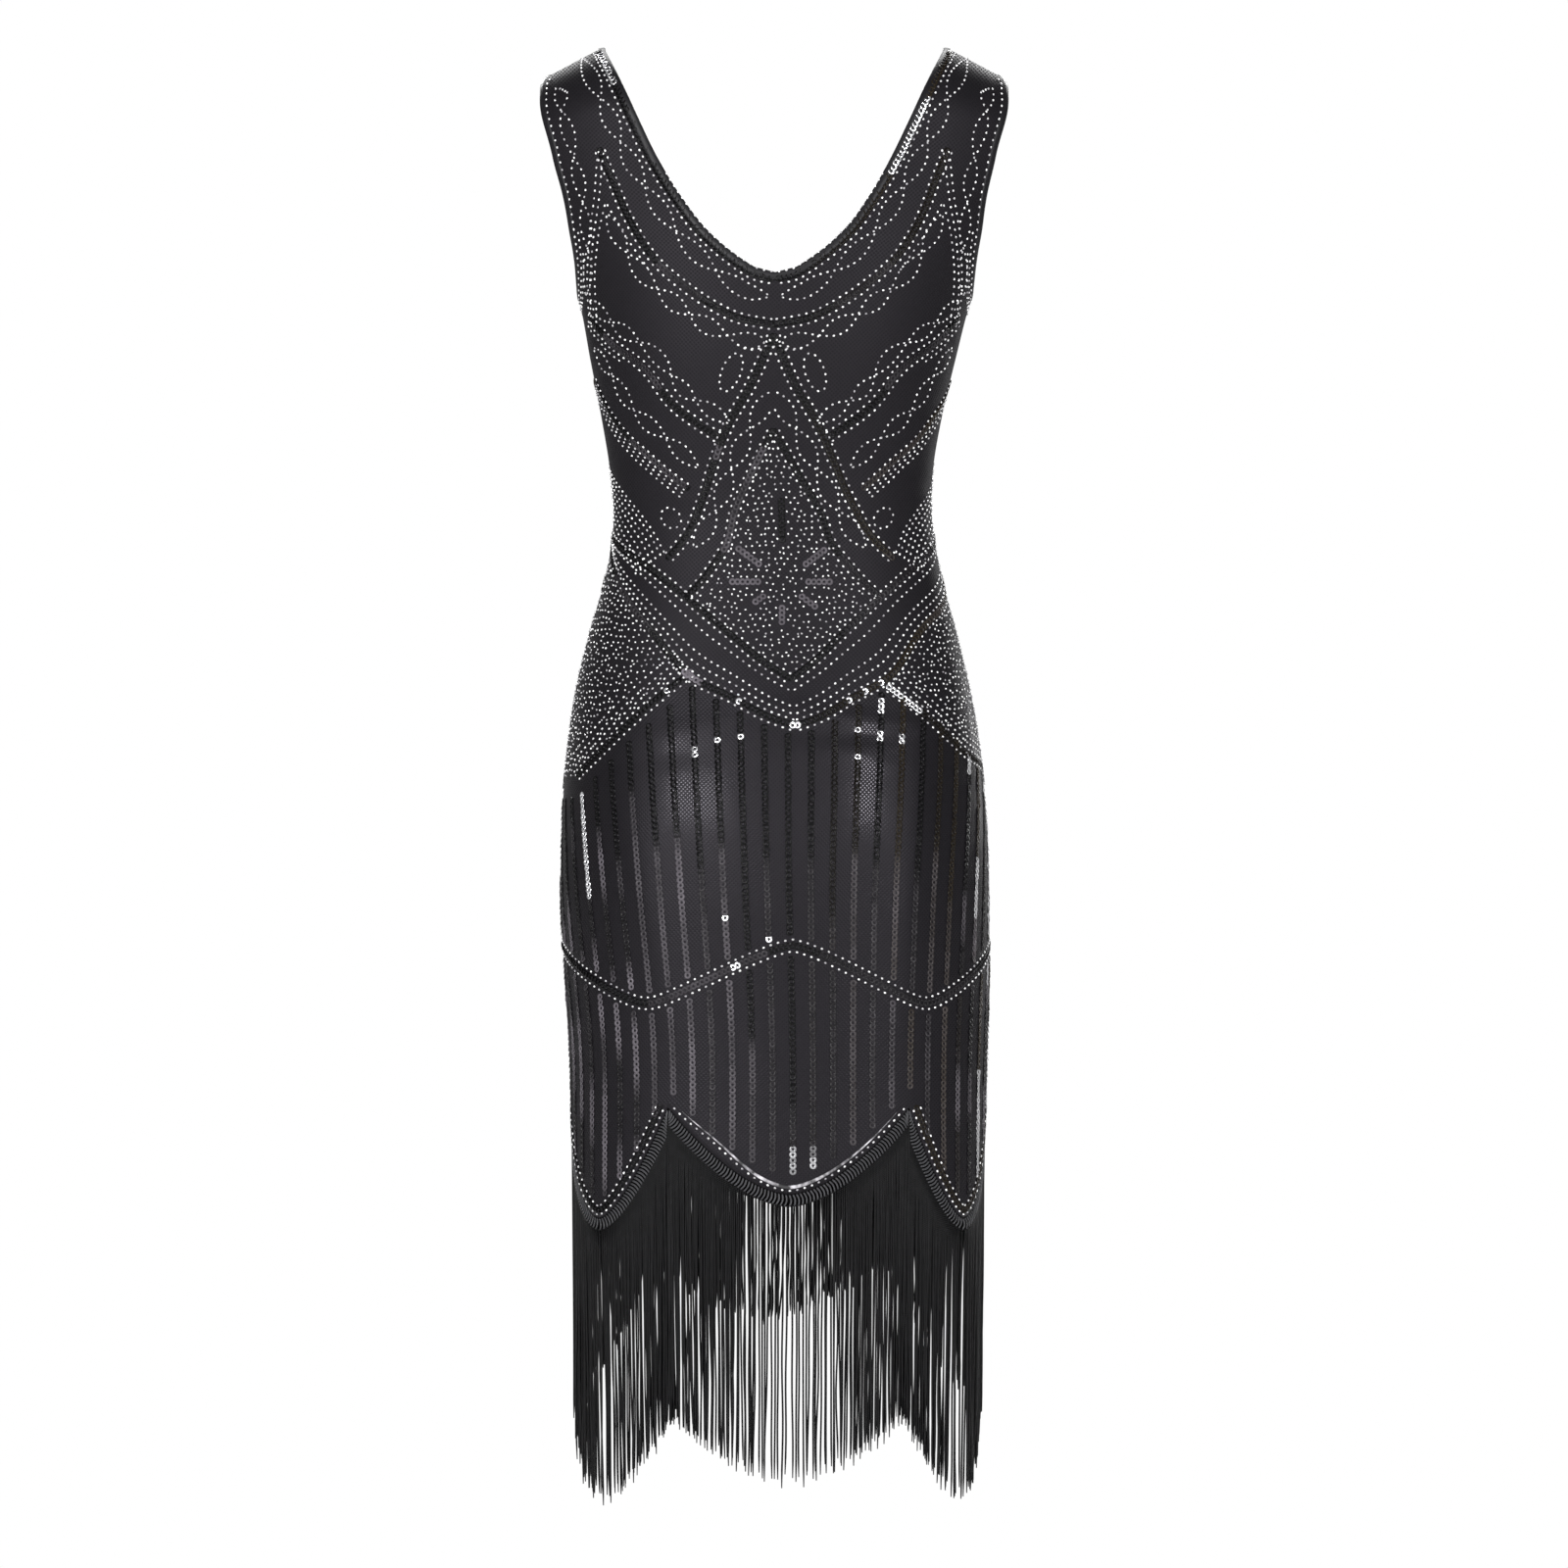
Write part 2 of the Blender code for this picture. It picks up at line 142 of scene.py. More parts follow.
CLOTH_WALL = 0.0013
ROW_STEP = 0.0045
COLUMNS = (20, 20)           # centre line to cusp, cusp to side seam
NET_TURNS = (0.85, -0.75)    # the net's two ways, radians
NET_SCALE = 140.0
NET_BLACK = (0.0048, 0.0044, 0.0053, 1.0)
SATIN_BLACKS = ((0.0070, 0.0064, 0.0077, 1.0), (0.0120, 0.0109, 0.0132, 1.0))
# painted shade: a flatter, darker black for the upper back, which tempers the lamps' light there
BODICE_SHADED_BLACK = (0.0066, 0.0060, 0.0072, 1.0)
SHEEN_ENDS = (-0.50, -0.40)  # heights between which the satin's gloss over the seat dies away, and above which the painted shade comes in
CREASES = {                  # soft ridges, and troughs where the height is negative
    "back": table(("around", "drop", "turn", "length", "width", "height"), [
        (0.055, 0.505, 8.0, 0.060, 0.0060, 0.0011),
        (0.075, 0.519, 3.0, 0.050, 0.0055, -0.0009),
        (0.048, 0.531, -4.0, 0.042, 0.0055, 0.0008),
        (0.095, 0.541, 10.0, 0.034, 0.0060, 0.0007),
        (-0.062, 0.512, -12.0, 0.036, 0.0065, 0.0007),
        (-0.085, 0.535, -6.0, 0.044, 0.0070, -0.0006),
        (-0.100, 0.300, -24.0, 0.040, 0.0075, -0.0010),
        (0.108, 0.318, 20.0, 0.036, 0.0070, -0.0009),
        (-0.088, 0.352, 6.0, 0.052, 0.0085, -0.0012),
        (0.080, 0.362, -5.0, 0.055, 0.0080, -0.0012),
        (0.020, 0.345, 2.0, 0.040, 0.0090, 0.0008),
        (-0.095, 0.665, 80.0, 0.085, 0.0150, 0.0016),
        (0.105, 0.640, 96.0, 0.110, 0.0160, 0.0015),
        (-0.030, 0.745, 88.0, 0.070, 0.0140, -0.0012),
        (0.045, 0.735, 93.0, 0.060, 0.0120, 0.0010),
        (0.150, 0.215, 58.0, 0.030, 0.0060, -0.0009),
        (-0.148, 0.222, -55.0, 0.028, 0.0065, -0.0009),
    ]),
    "front": table(("around", "drop", "turn", "length", "width", "height"), [
        (0.060, 0.498, 6.0, 0.055, 0.0065, 0.0010),
        (-0.050, 0.515, -5.0, 0.050, 0.0060, -0.0009),
        (-0.078, 0.530, -10.0, 0.038, 0.0060, 0.0008),
        (0.088, 0.326, -18.0, 0.046, 0.0080, -0.0012),
        (-0.094, 0.338, 14.0, 0.050, 0.0080, -0.0013),
        (0.010, 0.358, 3.0, 0.060, 0.0090, -0.0009),
        (0.105, 0.236, 40.0, 0.034, 0.0080, -0.0011),
        (-0.108, 0.242, -44.0, 0.032, 0.0080, -0.0010),
        (0.090, 0.655, 84.0, 0.095, 0.0160, 0.0016),
        (-0.104, 0.690, 97.0, 0.080, 0.0150, 0.0013),
        (-0.025, 0.720, 91.0, 0.075, 0.0130, -0.0012),
        (0.038, 0.760, 86.0, 0.055, 0.0120, 0.0009),
    ]),
}


def smooth(at, source, column, key="drop"):
    """Cubic through a table's rows, each slope taken from the rows beside it."""
    stations = source[key]
    values = source[column]
    slopes = np.gradient(values, stations)
    low = np.clip(np.searchsorted(stations, at, side="right") - 1, 0, len(stations) - 2)
    step = stations[low + 1] - stations[low]
    u = np.clip((at - stations[low]) / step, 0.0, 1.0)
    start = (1 + 2 * u) * (1 - u) ** 2 * values[low] + u * (1 - u) ** 2 * step * slopes[low]
    end = u * u * (3 - 2 * u) * values[low + 1] + u * u * (u - 1) * step * slopes[low + 1]
    return start + end


def half_width(drop):
    """Half the section's width."""
    return smooth(drop, SECTIONS, "half_width")


def depth(level, side):
    """Side seam plane to the centre line, brought to nothing over the shoulder's curve."""
    rise = np.clip(level / SHOULDER_RADIUS, 0.0, 1.0)
    return smooth(level, SECTIONS, side + "_depth") * np.sqrt(rise * (2.0 - rise))


def round_section(angle, width, height):
    """Superellipse: width sin(a)^(2/n) across, height cos(a)^(2/n) out, a from the centre line."""
    power = 2 / ROUNDNESS
    return width * np.sin(angle) ** power, height * np.maximum(np.cos(angle), 0.0) ** power


def running_length(points):
    """Length from the first point to each of a line's points."""
    steps = np.linalg.norm(np.diff(points, axis=0), axis=1)
    return np.concatenate([[0.0], np.cumsum(steps)])


ANGLES = np.linspace(0.0, np.pi / 2, 400)
USUAL_GIRTH = running_length(np.stack(round_section(ANGLES, 1.0, 0.70), axis=1))
SHARES = USUAL_GIRTH / USUAL_GIRTH[-1]      # of the half girth left behind at each angle


def half_girths(side):
    """Length round each section of the table from centre line to side seam, summed over chords."""
    drop = SECTIONS["drop"][:, None]
    across, out = round_section(ANGLES[None], half_width(drop), SECTIONS[side + "_depth"][:, None])
    girth = np.hypot(np.diff(across), np.diff(out)).sum(axis=1)
    return {"drop": SECTIONS["drop"], "girth": girth}


GIRTHS = {side: half_girths(side) for side in SIDES}


def half_girth(drop, side):
    """Centre line to side seam, round the section."""
    return smooth(drop, GIRTHS[side], "girth")


def section_angle(across, drop):
    """Angle round the section at which a point lies this far across."""
    return np.arcsin(np.clip(np.abs(across) / half_width(drop), 0.0, 1.0) ** (ROUNDNESS / 2))


def around_at(across, drop, side):
    """Distance round the section of a point that lies this far across."""
    share = np.interp(section_angle(across, drop), ANGLES, SHARES)
    return np.sign(across) * share * half_girth(drop, side)


def level_under(angle, drop):
    """Level of a point on the shoulder's slope: drop = level + slope (across - neck), repeated."""
    level = np.maximum(drop, 0.0)
    for _ in range(8):
        across = round_section(angle, half_width(level), 0.0)[0]
        fall = SHOULDER_SLOPE * np.maximum(across - NECK_HALF_WIDTH, 0.0)
        level = np.where(drop < UNDERARM_DROP, (drop - fall) / (1.0 - fall / UNDERARM_DROP), drop)
    return np.maximum(level, 0.0)


def plain_point(around, drop, side):
    """Point of the cloth's outer face without creases: the section's point, at its own level."""
    angle = np.interp(np.abs(around) / half_girth(drop, side), SHARES, ANGLES)
    across = round_section(angle, half_width(drop), 0.0)[0]
    out = round_section(angle, 0.0, depth(level_under(angle, drop), side))[1] + SEAM_GAP
    x = smooth(drop, SECTIONS, "sway") - SIDES[side] * np.sign(around) * across
    return np.stack([x, SIDES[side] * out, -drop], axis=-1)


def crease_height(around, drop, side):
    """Sum of long Gaussian ridges and troughs, faded out towards the side seams."""
    creases = CREASES[side]
    turn = np.radians(creases["turn"])
    right = around[..., None] - creases["around"]
    down = drop[..., None] - creases["drop"]
    along = (right * np.cos(turn) + down * np.sin(turn)) / creases["length"]
    over = (down * np.cos(turn) - right * np.sin(turn)) / creases["width"]
    height = (creases["height"] * np.exp(-along ** 2 - over ** 2)).sum(axis=-1)
    to_seam = np.clip((1.0 - np.abs(around) / half_girth(drop, side)) / 0.12, 0.0, 1.0)
    return height * to_seam * to_seam * (3 - 2 * to_seam)


def unit(vectors):
    """Vectors brought to length 1."""
    return vectors / np.linalg.norm(vectors, axis=-1, keepdims=True)


def cloth_frame(around, drop, side):
    """Creased point with unit outward, rightward and downward ways, by central differences."""
    reach = 0.0004
    right = plain_point(around + reach, drop, side) - plain_point(around - reach, drop, side)
    down = plain_point(around, drop + reach, side) - plain_point(around, drop - reach, side)
    outward = unit(np.cross(down, right))
    lift = crease_height(around, drop, side)[..., None]
    return plain_point(around, drop, side) + lift * outward, outward, unit(right), unit(down)


def cut_neckline(side):
    """The cloth's own edge, beside the bound one, ending at the centre line."""
    bound = NECKLINES[side]
    drop = np.linspace(0.0, bound["drop"][-1], 400)
    across = smooth(drop, bound, "half_width")
    along = unit(np.stack([np.gradient(across), np.gradient(drop)], axis=1))
    cut_across = across + EDGE_INSET * along[:, 1]
    cut_drop = drop - EDGE_INSET * along[:, 0]
    point_drop = cut_drop[-1] - cut_across[-1] * along[-1, 1] / along[-1, 0]
    return {"drop": np.append(cut_drop, point_drop), "half_width": np.append(cut_across, 0.0)}


def hem_drop(share):
    """Scallops against the signed share of the half girth: low - (low - cusp) q^p in each lobe."""
    cusp = CUSP_SHARE + TURN_SHARE * np.sign(share)
    side_lobe_half = (1.0 - cusp) / 2
    in_centre = np.abs(share) < cusp
    from_centre_low = np.abs(share - TURN_SHARE) / CUSP_SHARE
    from_side_low = np.abs(np.abs(share) - cusp - side_lobe_half) / side_lobe_half
    from_low = np.where(in_centre, from_centre_low, from_side_low)
    low = np.where(in_centre, CENTRE_LOBE_DROP, SIDE_LOBE_DROP)
    return low - (low - CUSP_DROP) * from_low ** LOBE_POWER


def row_levels(side):
    """Row levels, closest on the shoulder's curve, with rows at the neck's point and underarm."""
    neck_point = cut_neckline(side)["drop"][-1]
    marks = sorted([SHOULDER_RADIUS, neck_point, UNDERARM_DROP, FLAT_ROWS_END])
    levels = [SHOULDER_RADIUS * np.linspace(0.0, 1.0, 16) ** 2]
    for low, high in zip(marks[:-1], marks[1:]):
        levels.append(np.linspace(low, high, int((high - low) / ROW_STEP) + 2)[1:])
    return np.concatenate(levels)


def panel_places(side, hand):
    """Grid of places: rows from neckline to armhole, then centre to seam, then bent to the hem."""
    cusp = CUSP_SHARE + hand * TURN_SHARE
    inner = np.linspace(0.0, cusp, COLUMNS[0] + 1)
    share = np.concatenate([inner, np.linspace(cusp, 1.0, COLUMNS[1] + 1)[1:]])[None, :]
    level = row_levels(side)[:, None]
    cut = cut_neckline(side)
    angle_in = section_angle(np.interp(level, cut["drop"], cut["half_width"]), level)
    armhole_angle = np.radians(smooth(level, ARMHOLE, "edge_angle", key="level"))
    angle_out = np.where(level < UNDERARM_DROP, armhole_angle, np.pi / 2)
    angle = angle_in + (angle_out - angle_in) * np.interp(share, SHARES, ANGLES) / (np.pi / 2)
    across = round_section(angle, half_width(level), 0.0)[0]
    slope = SHOULDER_SLOPE * np.clip(1.0 - level / UNDERARM_DROP, 0.0, 1.0)
    drop = level + slope * np.maximum(across - NECK_HALF_WIDTH, 0.0)
    upper_share = np.interp(angle, ANGLES, SHARES)
    edge = hem_drop(hand * share)
    step = np.linspace(0.0, 1.0, 28)[1:, None]
    drop = np.concatenate([drop, FLAT_ROWS_END + step * (edge - FLAT_ROWS_END)])
    share = np.concatenate([upper_share, np.broadcast_to(share, (len(step), share.shape[1]))])
    return hand * share * half_girth(drop, side), drop


def grid_quads(rows, columns):
    """Corners of a grid's faces, turning from down to right."""
    first = (np.arange(rows - 1)[:, None] * columns + np.arange(columns - 1)).reshape(-1, 1)
    return first + np.array([0, columns, columns + 1, 1])


def gathered(parts):
    """Points, faces and UV places of several meshes as one, each one's faces counted on."""
    points, faces, uv = zip(*parts)
    starts = np.cumsum([0] + [len(own) for own in points[:-1]])
    faces = [own + start for own, start in zip(faces, starts)]
    return np.concatenate(points), np.concatenate(faces), np.concatenate(uv)


def new_piece(name, material, points, faces, uv=None):
    """A smooth mesh object from arrays of points and of equal-sided faces."""
    mesh = bpy.data.meshes.new(name)
    mesh.from_pydata(points.tolist(), [], faces.tolist())
    if uv is not None:
        layer = mesh.uv_layers.new(name="cloth")
        layer.data.foreach_set("uv", uv[faces.ravel()].ravel())
    mesh.shade_smooth()
    mesh.materials.append(material)
    piece = bpy.data.objects.new(name, mesh)
    bpy.context.scene.collection.objects.link(piece)
    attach(piece, "root")
    return piece


def weld(piece):
    """Merges doubled points."""
    bm = bmesh.new()
    bm.from_mesh(piece.data)
    bmesh.ops.remove_doubles(bm, verts=bm.verts, dist=1e-5)
    bm.to_mesh(piece.data)
    bm.free()


def new_material(name):
    """A node material, with functions that add a node, work a sum, blend colours and set it off."""
    material = bpy.data.materials.new(name)
    material.use_nodes = True
    tree = material.node_tree

    def fill(node, inputs):
        for key, value in dict(inputs).items():
            if isinstance(value, bpy.types.NodeSocket):
                tree.links.new(value, node.inputs[key])
            else:
                node.inputs[key].default_value = value
        return node.outputs

    def add(kind, inputs=(), **settings):
        node = tree.nodes.new(kind)
        for key, value in settings.items():
            setattr(node, key, value)
        return fill(node, inputs)

    def work(operation, *terms):
        return add("ShaderNodeMath", enumerate(terms), operation=operation)["Value"]

    def blend(factor, low, high):
        ends = {"Factor": factor, 6: low, 7: high}
        return add("ShaderNodeMix", ends, data_type="RGBA")[2]

    def shade(inputs):
        fill(tree.nodes["Principled BSDF"], inputs)
        return material

    return add, work, blend, shade


def mesh_over_satin():
    """Matt black diamond net over glossier satin, which shows in its holes, unevenly dyed, with
    painted shade above the seat: a flatter, darker black blended in by height.
    """
    add, work, blend, shade = new_material("black_mesh_over_satin")
    place = add("ShaderNodeUVMap", uv_map="cloth")["UV"]
    ribs = []
    for turn in NET_TURNS:
        turned = add("ShaderNodeMapping", {"Vector": place, "Rotation": (0.0, 0.0, turn)})["Vector"]
        ribs.append(add("ShaderNodeTexWave", {"Vector": turned, "Scale": NET_SCALE,
                                              "Distortion": 1.4, "Detail": 1.0,
                                              "Detail Scale": 0.6})["Fac"])
    crossed = work("MULTIPLY", *ribs)
    hole = add("ShaderNodeMapRange",
               {"Value": crossed, "From Min": 0.02, "From Max": 0.55})["Result"]
    dye = add("ShaderNodeTexNoise", {"Vector": place, "Scale": 14.0, "Detail": 3.0})["Fac"]
    colour = blend(hole, NET_BLACK, blend(dye, *SATIN_BLACKS))
    up = {"Value": add("ShaderNodeSeparateXYZ", {"Vector": place})["Y"],
          "From Min": SHEEN_ENDS[0], "From Max": SHEEN_ENDS[1]}
    # painted shade on the upper back, blended in above the seat
    bodice_shade = add("ShaderNodeMapRange", {**up, "To Max": 0.75})["Result"]
    colour = blend(bodice_shade, colour, BODICE_SHADED_BLACK)
    seat = add("ShaderNodeMapRange", {**up, "To Min": 0.19, "To Max": 0.90})["Result"]
    gloss = add("ShaderNodeMapRange", {"Value": hole, "To Min": 0.50, "To Max": seat})["Result"]
    bump = add("ShaderNodeBump", {"Height": hole, "Strength": 0.9, "Distance": 0.00010},
               invert=True)["Normal"]
    return shade({"Base Color": colour, "Roughness": gloss, "Normal": bump,
                  "Specular IOR Level": 0.15, "Specular Tint": (0.95, 0.90, 1.0, 1.0)})


def dress_panel(side, material):
    """Both halves' grids joined at the centre line, with the cloth's thickness laid inwards."""
    halves = []
    for hand in HANDS:
        around, drop = panel_places(side, hand)
        points = cloth_frame(around, drop, side)[0].reshape(-1, 3)
        quads = grid_quads(*around.shape)[:, ::hand]
        halves.append((points, quads, np.stack([around.ravel(), -drop.ravel()], axis=1)))
    panel = new_piece("cloth_" + side, material, *gathered(halves))
    weld(panel)
    wall = panel.modifiers.new("wall", "SOLIDIFY")
    wall.thickness = CLOTH_WALL
    wall.offset = -1.0
    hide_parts(side + "_panel")
    return panel


cloth = mesh_over_satin()
panels = {side: dress_panel(side, cloth) for side in SIDES}


# ---- Bound edges
# Neckline and armholes are finished with a narrow folded strip of black satin, wrapped round the
# cut edge and sewn through with small stitches close to its inner fold.
BINDING_OVERLAP = 0.0024     # onto the cloth
BINDING_REACH = 0.0040       # past the cloth's edge
BINDING_HALF_HEIGHT = 0.00135
BINDING_SIDES = 12
BINDING_STEP = 0.003         # from one ring of points to the next
BINDING_STITCH = 0.0021      # from one stitch to the next
BINDING_BLACKS = ((0.005, 0.005, 0.006, 1.0), (0.011, 0.010, 0.012, 1.0))


def edge_line(side, hand, column):
    """Points and outward ways down a free edge of a half panel, its ends brought onto the seam."""
    around, drop = panel_places(side, hand)
    end = UNDERARM_DROP if column else cut_neckline(side)["drop"][-1]
    last = np.searchsorted(row_levels(side), end)
    points, outward = cloth_frame(around[:last + 1, column], drop[:last + 1, column], side)[:2]
    points[0, 1] = 0.0
    if column:
        points[-1, 1] = 0.0
    return points, outward


def joined(lines):
    """Lines laid end to end as one closed loop, each shared end kept once."""
    points = np.concatenate([p[:-1] for p, _ in lines])
    outward = np.concatenate([n[:-1] for _, n in lines])
    return points, outward


def evened(points, outward, step):
    """The closed loop again, at even steps, its outward ways eased over a few points."""
    closed = np.concatenate([points, points[:1]])
    ways = np.concatenate([outward, outward[:1]])
    length = running_length(closed)
    at = np.linspace(0.0, length[-1], int(length[-1] / step), endpoint=False)
    points = np.stack([np.interp(at, length, c) for c in closed.T], axis=1)
    ways = np.stack([np.interp(at, length, c) for c in ways.T], axis=1)
    for _ in range(6):
        ways = (np.roll(ways, 1, axis=0) + 2 * ways + np.roll(ways, -1, axis=0)) / 4
    return points, unit(ways), at


def folded_satin():
    """Black satin with a crosswise rib, and a dimple at each stitch along the inner fold."""
    add, work, blend, shade = new_material("black_satin_binding")
    place = add("ShaderNodeUVMap", uv_map="cloth")["UV"]
    rib = add("ShaderNodeTexWave", {"Vector": place, "Scale": 520.0, "Distortion": 0.8})["Fac"]
    dye = add("ShaderNodeTexNoise", {"Vector": place, "Scale": 60.0, "Detail": 2.0})["Fac"]
    axes = add("ShaderNodeSeparateXYZ", {"Vector": place})
    beat = work("PINGPONG", axes["X"], BINDING_STITCH)
    stitch = add("ShaderNodeMapRange", {"Value": beat, "From Max": BINDING_STITCH})["Result"]
    fold = add("ShaderNodeMapRange", {"Value": axes["Y"], "From Min": 0.0006, "From Max": 0.0014,
                                      "To Min": 1.0, "To Max": 0.0})["Result"]
    dimple = work("MULTIPLY", stitch, fold)
    height = work("SUBTRACT", work("MULTIPLY", rib, 0.25), dimple)
    bump = add("ShaderNodeBump", {"Height": height, "Strength": 0.5, "Distance": 0.0002})["Normal"]
    return shade({"Base Color": blend(dye, *BINDING_BLACKS), "Normal": bump, "Roughness": 0.40,
                  "Specular IOR Level": 0.18})


def turn_outwards(piece):
    """Makes all faces of a closed piece point out of it."""
    bm = bmesh.new()
    bm.from_mesh(piece.data)
    bmesh.ops.recalc_face_normals(bm, faces=bm.faces)
    bm.to_mesh(piece.data)
    bm.free()


def ring_quads(rows, sides, closed=False):
    """Corners of the faces between rings in a row, the last joined to the first when closed."""
    row = np.arange(rows if closed else rows - 1)[:, None]
    first, after = row * sides, (row + 1) % rows * sides
    a = np.arange(sides)
    b = (a + 1) % sides
    return np.stack([first + a, first + b, after + b, after + a], axis=-1).reshape(-1, 4)


def edge_binding(name, lines, middle, material):
    """A flat oval wrapped round the edge: overlap and reach along the sideways way, height out."""
    points, outward, along = evened(*joined(lines), BINDING_STEP)
    tangent = unit(np.roll(points, -1, axis=0) - np.roll(points, 1, axis=0))
    sideways = unit(np.cross(tangent, outward))
    toward = middle if middle is not None else points.mean(axis=0)
    sideways *= np.sign(np.sum(sideways * (toward - points)))
    turn = np.arange(BINDING_SIDES) / BINDING_SIDES * 2 * np.pi
    flat = np.sign(np.cos(turn)) * np.abs(np.cos(turn)) ** 0.7
    high = np.sign(np.sin(turn)) * np.abs(np.sin(turn)) ** 0.7
    across = (BINDING_REACH - BINDING_OVERLAP) / 2 + flat * (BINDING_REACH + BINDING_OVERLAP) / 2
    above = high * BINDING_HALF_HEIGHT - CLOTH_WALL / 2
    ring = points[:, None] + across[:, None] * sideways[:, None] + above[:, None] * outward[:, None]
    faces = ring_quads(len(points), BINDING_SIDES, closed=True)
    uv = np.stack(np.broadcast_arrays(along[:, None], across - across.min()), axis=-1)
    binding = new_piece(name + "_satin", material, ring.reshape(-1, 3), faces, uv.reshape(-1, 2))
    turn_outwards(binding)
    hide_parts(name)
    return binding


def turned(line):
    """An edge line taken the other way."""
    return line[0][::-1], line[1][::-1]


def armhole_lines(world_hand):
    """Down the back edge of one armhole and up its front one."""
    back = edge_line("back", world_hand, -1)
    front = edge_line("front", -world_hand, -1)
    return [back, turned(front)]


satin = folded_satin()
neck_lines = [edge_line("back", -1, 0), turned(edge_line("back", 1, 0)),
              edge_line("front", -1, 0), turned(edge_line("front", 1, 0))]
bindings = [
    edge_binding("neck_binding", neck_lines, np.zeros(3), satin),
    edge_binding("armhole_binding_right", armhole_lines(1), None, satin),
    edge_binding("armhole_binding_left", armhole_lines(-1), None, satin),
]


# ---- Beads
# Small silver-lined seed beads, sewn on one by one along chalked lines: a chevron under the neck,
# nested diamonds at the waist, fan bands from the sides, hip triangles, a wave and the scalloped
# hem.  Looped chains fill the bands, and the densest places are strewn.


def drawing(rows):
    """A line of the sewn pattern, by how far across and how far down it passes."""
    return table(("across", "drop"), rows)


DRIFT = table(("drop", "sideways"), [    # the sewn pattern's centre wanders from the cloth's
    (0.000, 0.0000),
    (0.218, 0.0000),
    (0.403, 0.0065),
    (0.470, 0.0125),
    (0.512, 0.0165),
    (0.560, 0.0120),
    (0.680, 0.0080),
    (1.100, 0.0080),
])
NECK_FADE = (0.20, 0.42)     # drops between which the front's lower pattern meets the back's
CHEVRON = drawing([          # under the neckline, from the strap to the centre
    (0.1310, 0.0777),
    (0.1220, 0.1000),
    (0.1110, 0.1273),
    (0.0890, 0.1628),
    (0.0672, 0.1820),
    (0.0466, 0.1961),
    (0.0289, 0.2050),
    (0.0000, 0.2110),
])
STRAP_BRANCH = drawing([     # from the chevron's peak down beside the armhole
    (0.1310, 0.0777),
    (0.1355, 0.1180),
    (0.1400, 0.1554),
    (0.1405, 0.1850),
    (0.1385, 0.2100),
])
INNER_CHEVRON = drawing([
    (0.1265, 0.1180),
    (0.1130, 0.1420),
    (0.0930, 0.1715),
])
INNER_BRANCH = drawing([
    (0.1265, 0.1180),
    (0.1330, 0.1480),
    (0.1350, 0.1760),
    (0.1330, 0.2060),
])
DIAMOND = drawing([
    (0.0000, 0.2183),
    (0.0175, 0.2575),
    (0.0335, 0.2855),
    (0.0445, 0.3125),
    (0.0560, 0.3430),
    (0.0715, 0.3715),
    (0.0850, 0.3860),
])
HEART = drawing([            # the small dense diamond's upper edge
    (0.0000, 0.2893),
    (0.0175, 0.3220),
    (0.0325, 0.3520),
    (0.0395, 0.3750),
    (0.0500, 0.3900),
    (0.0610, 0.4035),
    (0.0730, 0.4150),
])
HEART_FOOT = drawing([
    (0.0000, 0.4766),
    (0.0200, 0.4625),
    (0.0450, 0.4400),
    (0.0730, 0.4150),
    (0.1000, 0.3920),
    (0.1250, 0.3680),
])
GIRDLE_FOOT = drawing([      # the beadwork's lowest chevron, out to the sides
    (0.0000, 0.5115),
    (0.0200, 0.5045),
    (0.0450, 0.4905),
    (0.0750, 0.4740),
    (0.1000, 0.4415),
    (0.1250, 0.3970),
    (0.1400, 0.3650),
])
HIP_EDGE = drawing([
    (0.0730, 0.4725),
    (0.1000, 0.4935),
    (0.1250, 0.5160),
    (0.1470, 0.5417),
    (0.1600, 0.5580),
])
HIP_SLANT = 0.075            # the hip rows sit lower on the right
HIP_LEVEL_ACROSS = -0.030
HIP_START = 0.48             # share of the lowest chevron above the strewn hips
HEART_FOOT_PART = 0.58       # share of the small diamond's lower line that bounds it
FANS = [                                 # bands from the side seams in to the diamond
    drawing([
        (0.1400, 0.2020),
        (0.1258, 0.2198),
        (0.0960, 0.2435),
        (0.0762, 0.2694),
        (0.0400, 0.2960),
    ]),
    drawing([
        (0.1340, 0.2500),
        (0.1203, 0.2794),
        (0.1012, 0.3028),
        (0.0932, 0.3096),
        (0.0806, 0.3209),
        (0.0650, 0.3334),
    ]),
    drawing([
        (0.1277, 0.3119),
        (0.1160, 0.3330),
        (0.1055, 0.3490),
        (0.0950, 0.3640),
        (0.0860, 0.3830),
    ]),
]
NECK_ROW = 0.0094            # rows' distances from the lines that they follow
ARM_ROWS = ((0.0, -0.0030), (0.62, -0.0078), (0.70, -0.0112))    # with the share they start at
STRAP_ROW = -0.0040
FAN_A_ROW = 0.0078
FAN_A_PART = 0.36
FAN_B_ROWS = (0.0056, 0.0090)
FAN_C_ROWS = (0.0, 0.0036, 0.0085, 0.0130, 0.0185, 0.0240, 0.0295)
GIRDLE_SHARES = (0.26, 0.60, 0.76)       # between the small diamond's foot and the lowest chevron
HIP_ROWS = (0.0080, 0.0125, 0.0180)
CHAINS = [                   # line, its part, distance from it, swing and pitch
    ("inner", 0.0, 1.0, 0.0, 0.0066, 0.0318),
    ("neck", 0.0, 1.0, 0.0190, 0.0060, 0.034),
    ("arm", 0.0, 0.86, -0.0165, 0.0055, 0.030),
    ("chevron", 0.24, 1.0, 0.0150, 0.0062, 0.029),
    ("fan", 0.0, 1.0, -0.0138, 0.0052, 0.034),
    ("between", 0.0, 1.0, 0.0, 0.0055, 0.033),
]
FAN_CHAIN = drawing([        # midway between the two upper fan bands
    (0.1354, 0.2264),
    (0.1215, 0.2468),
    (0.1050, 0.2734),
    (0.0799, 0.2960),
    (0.0565, 0.3179),
])
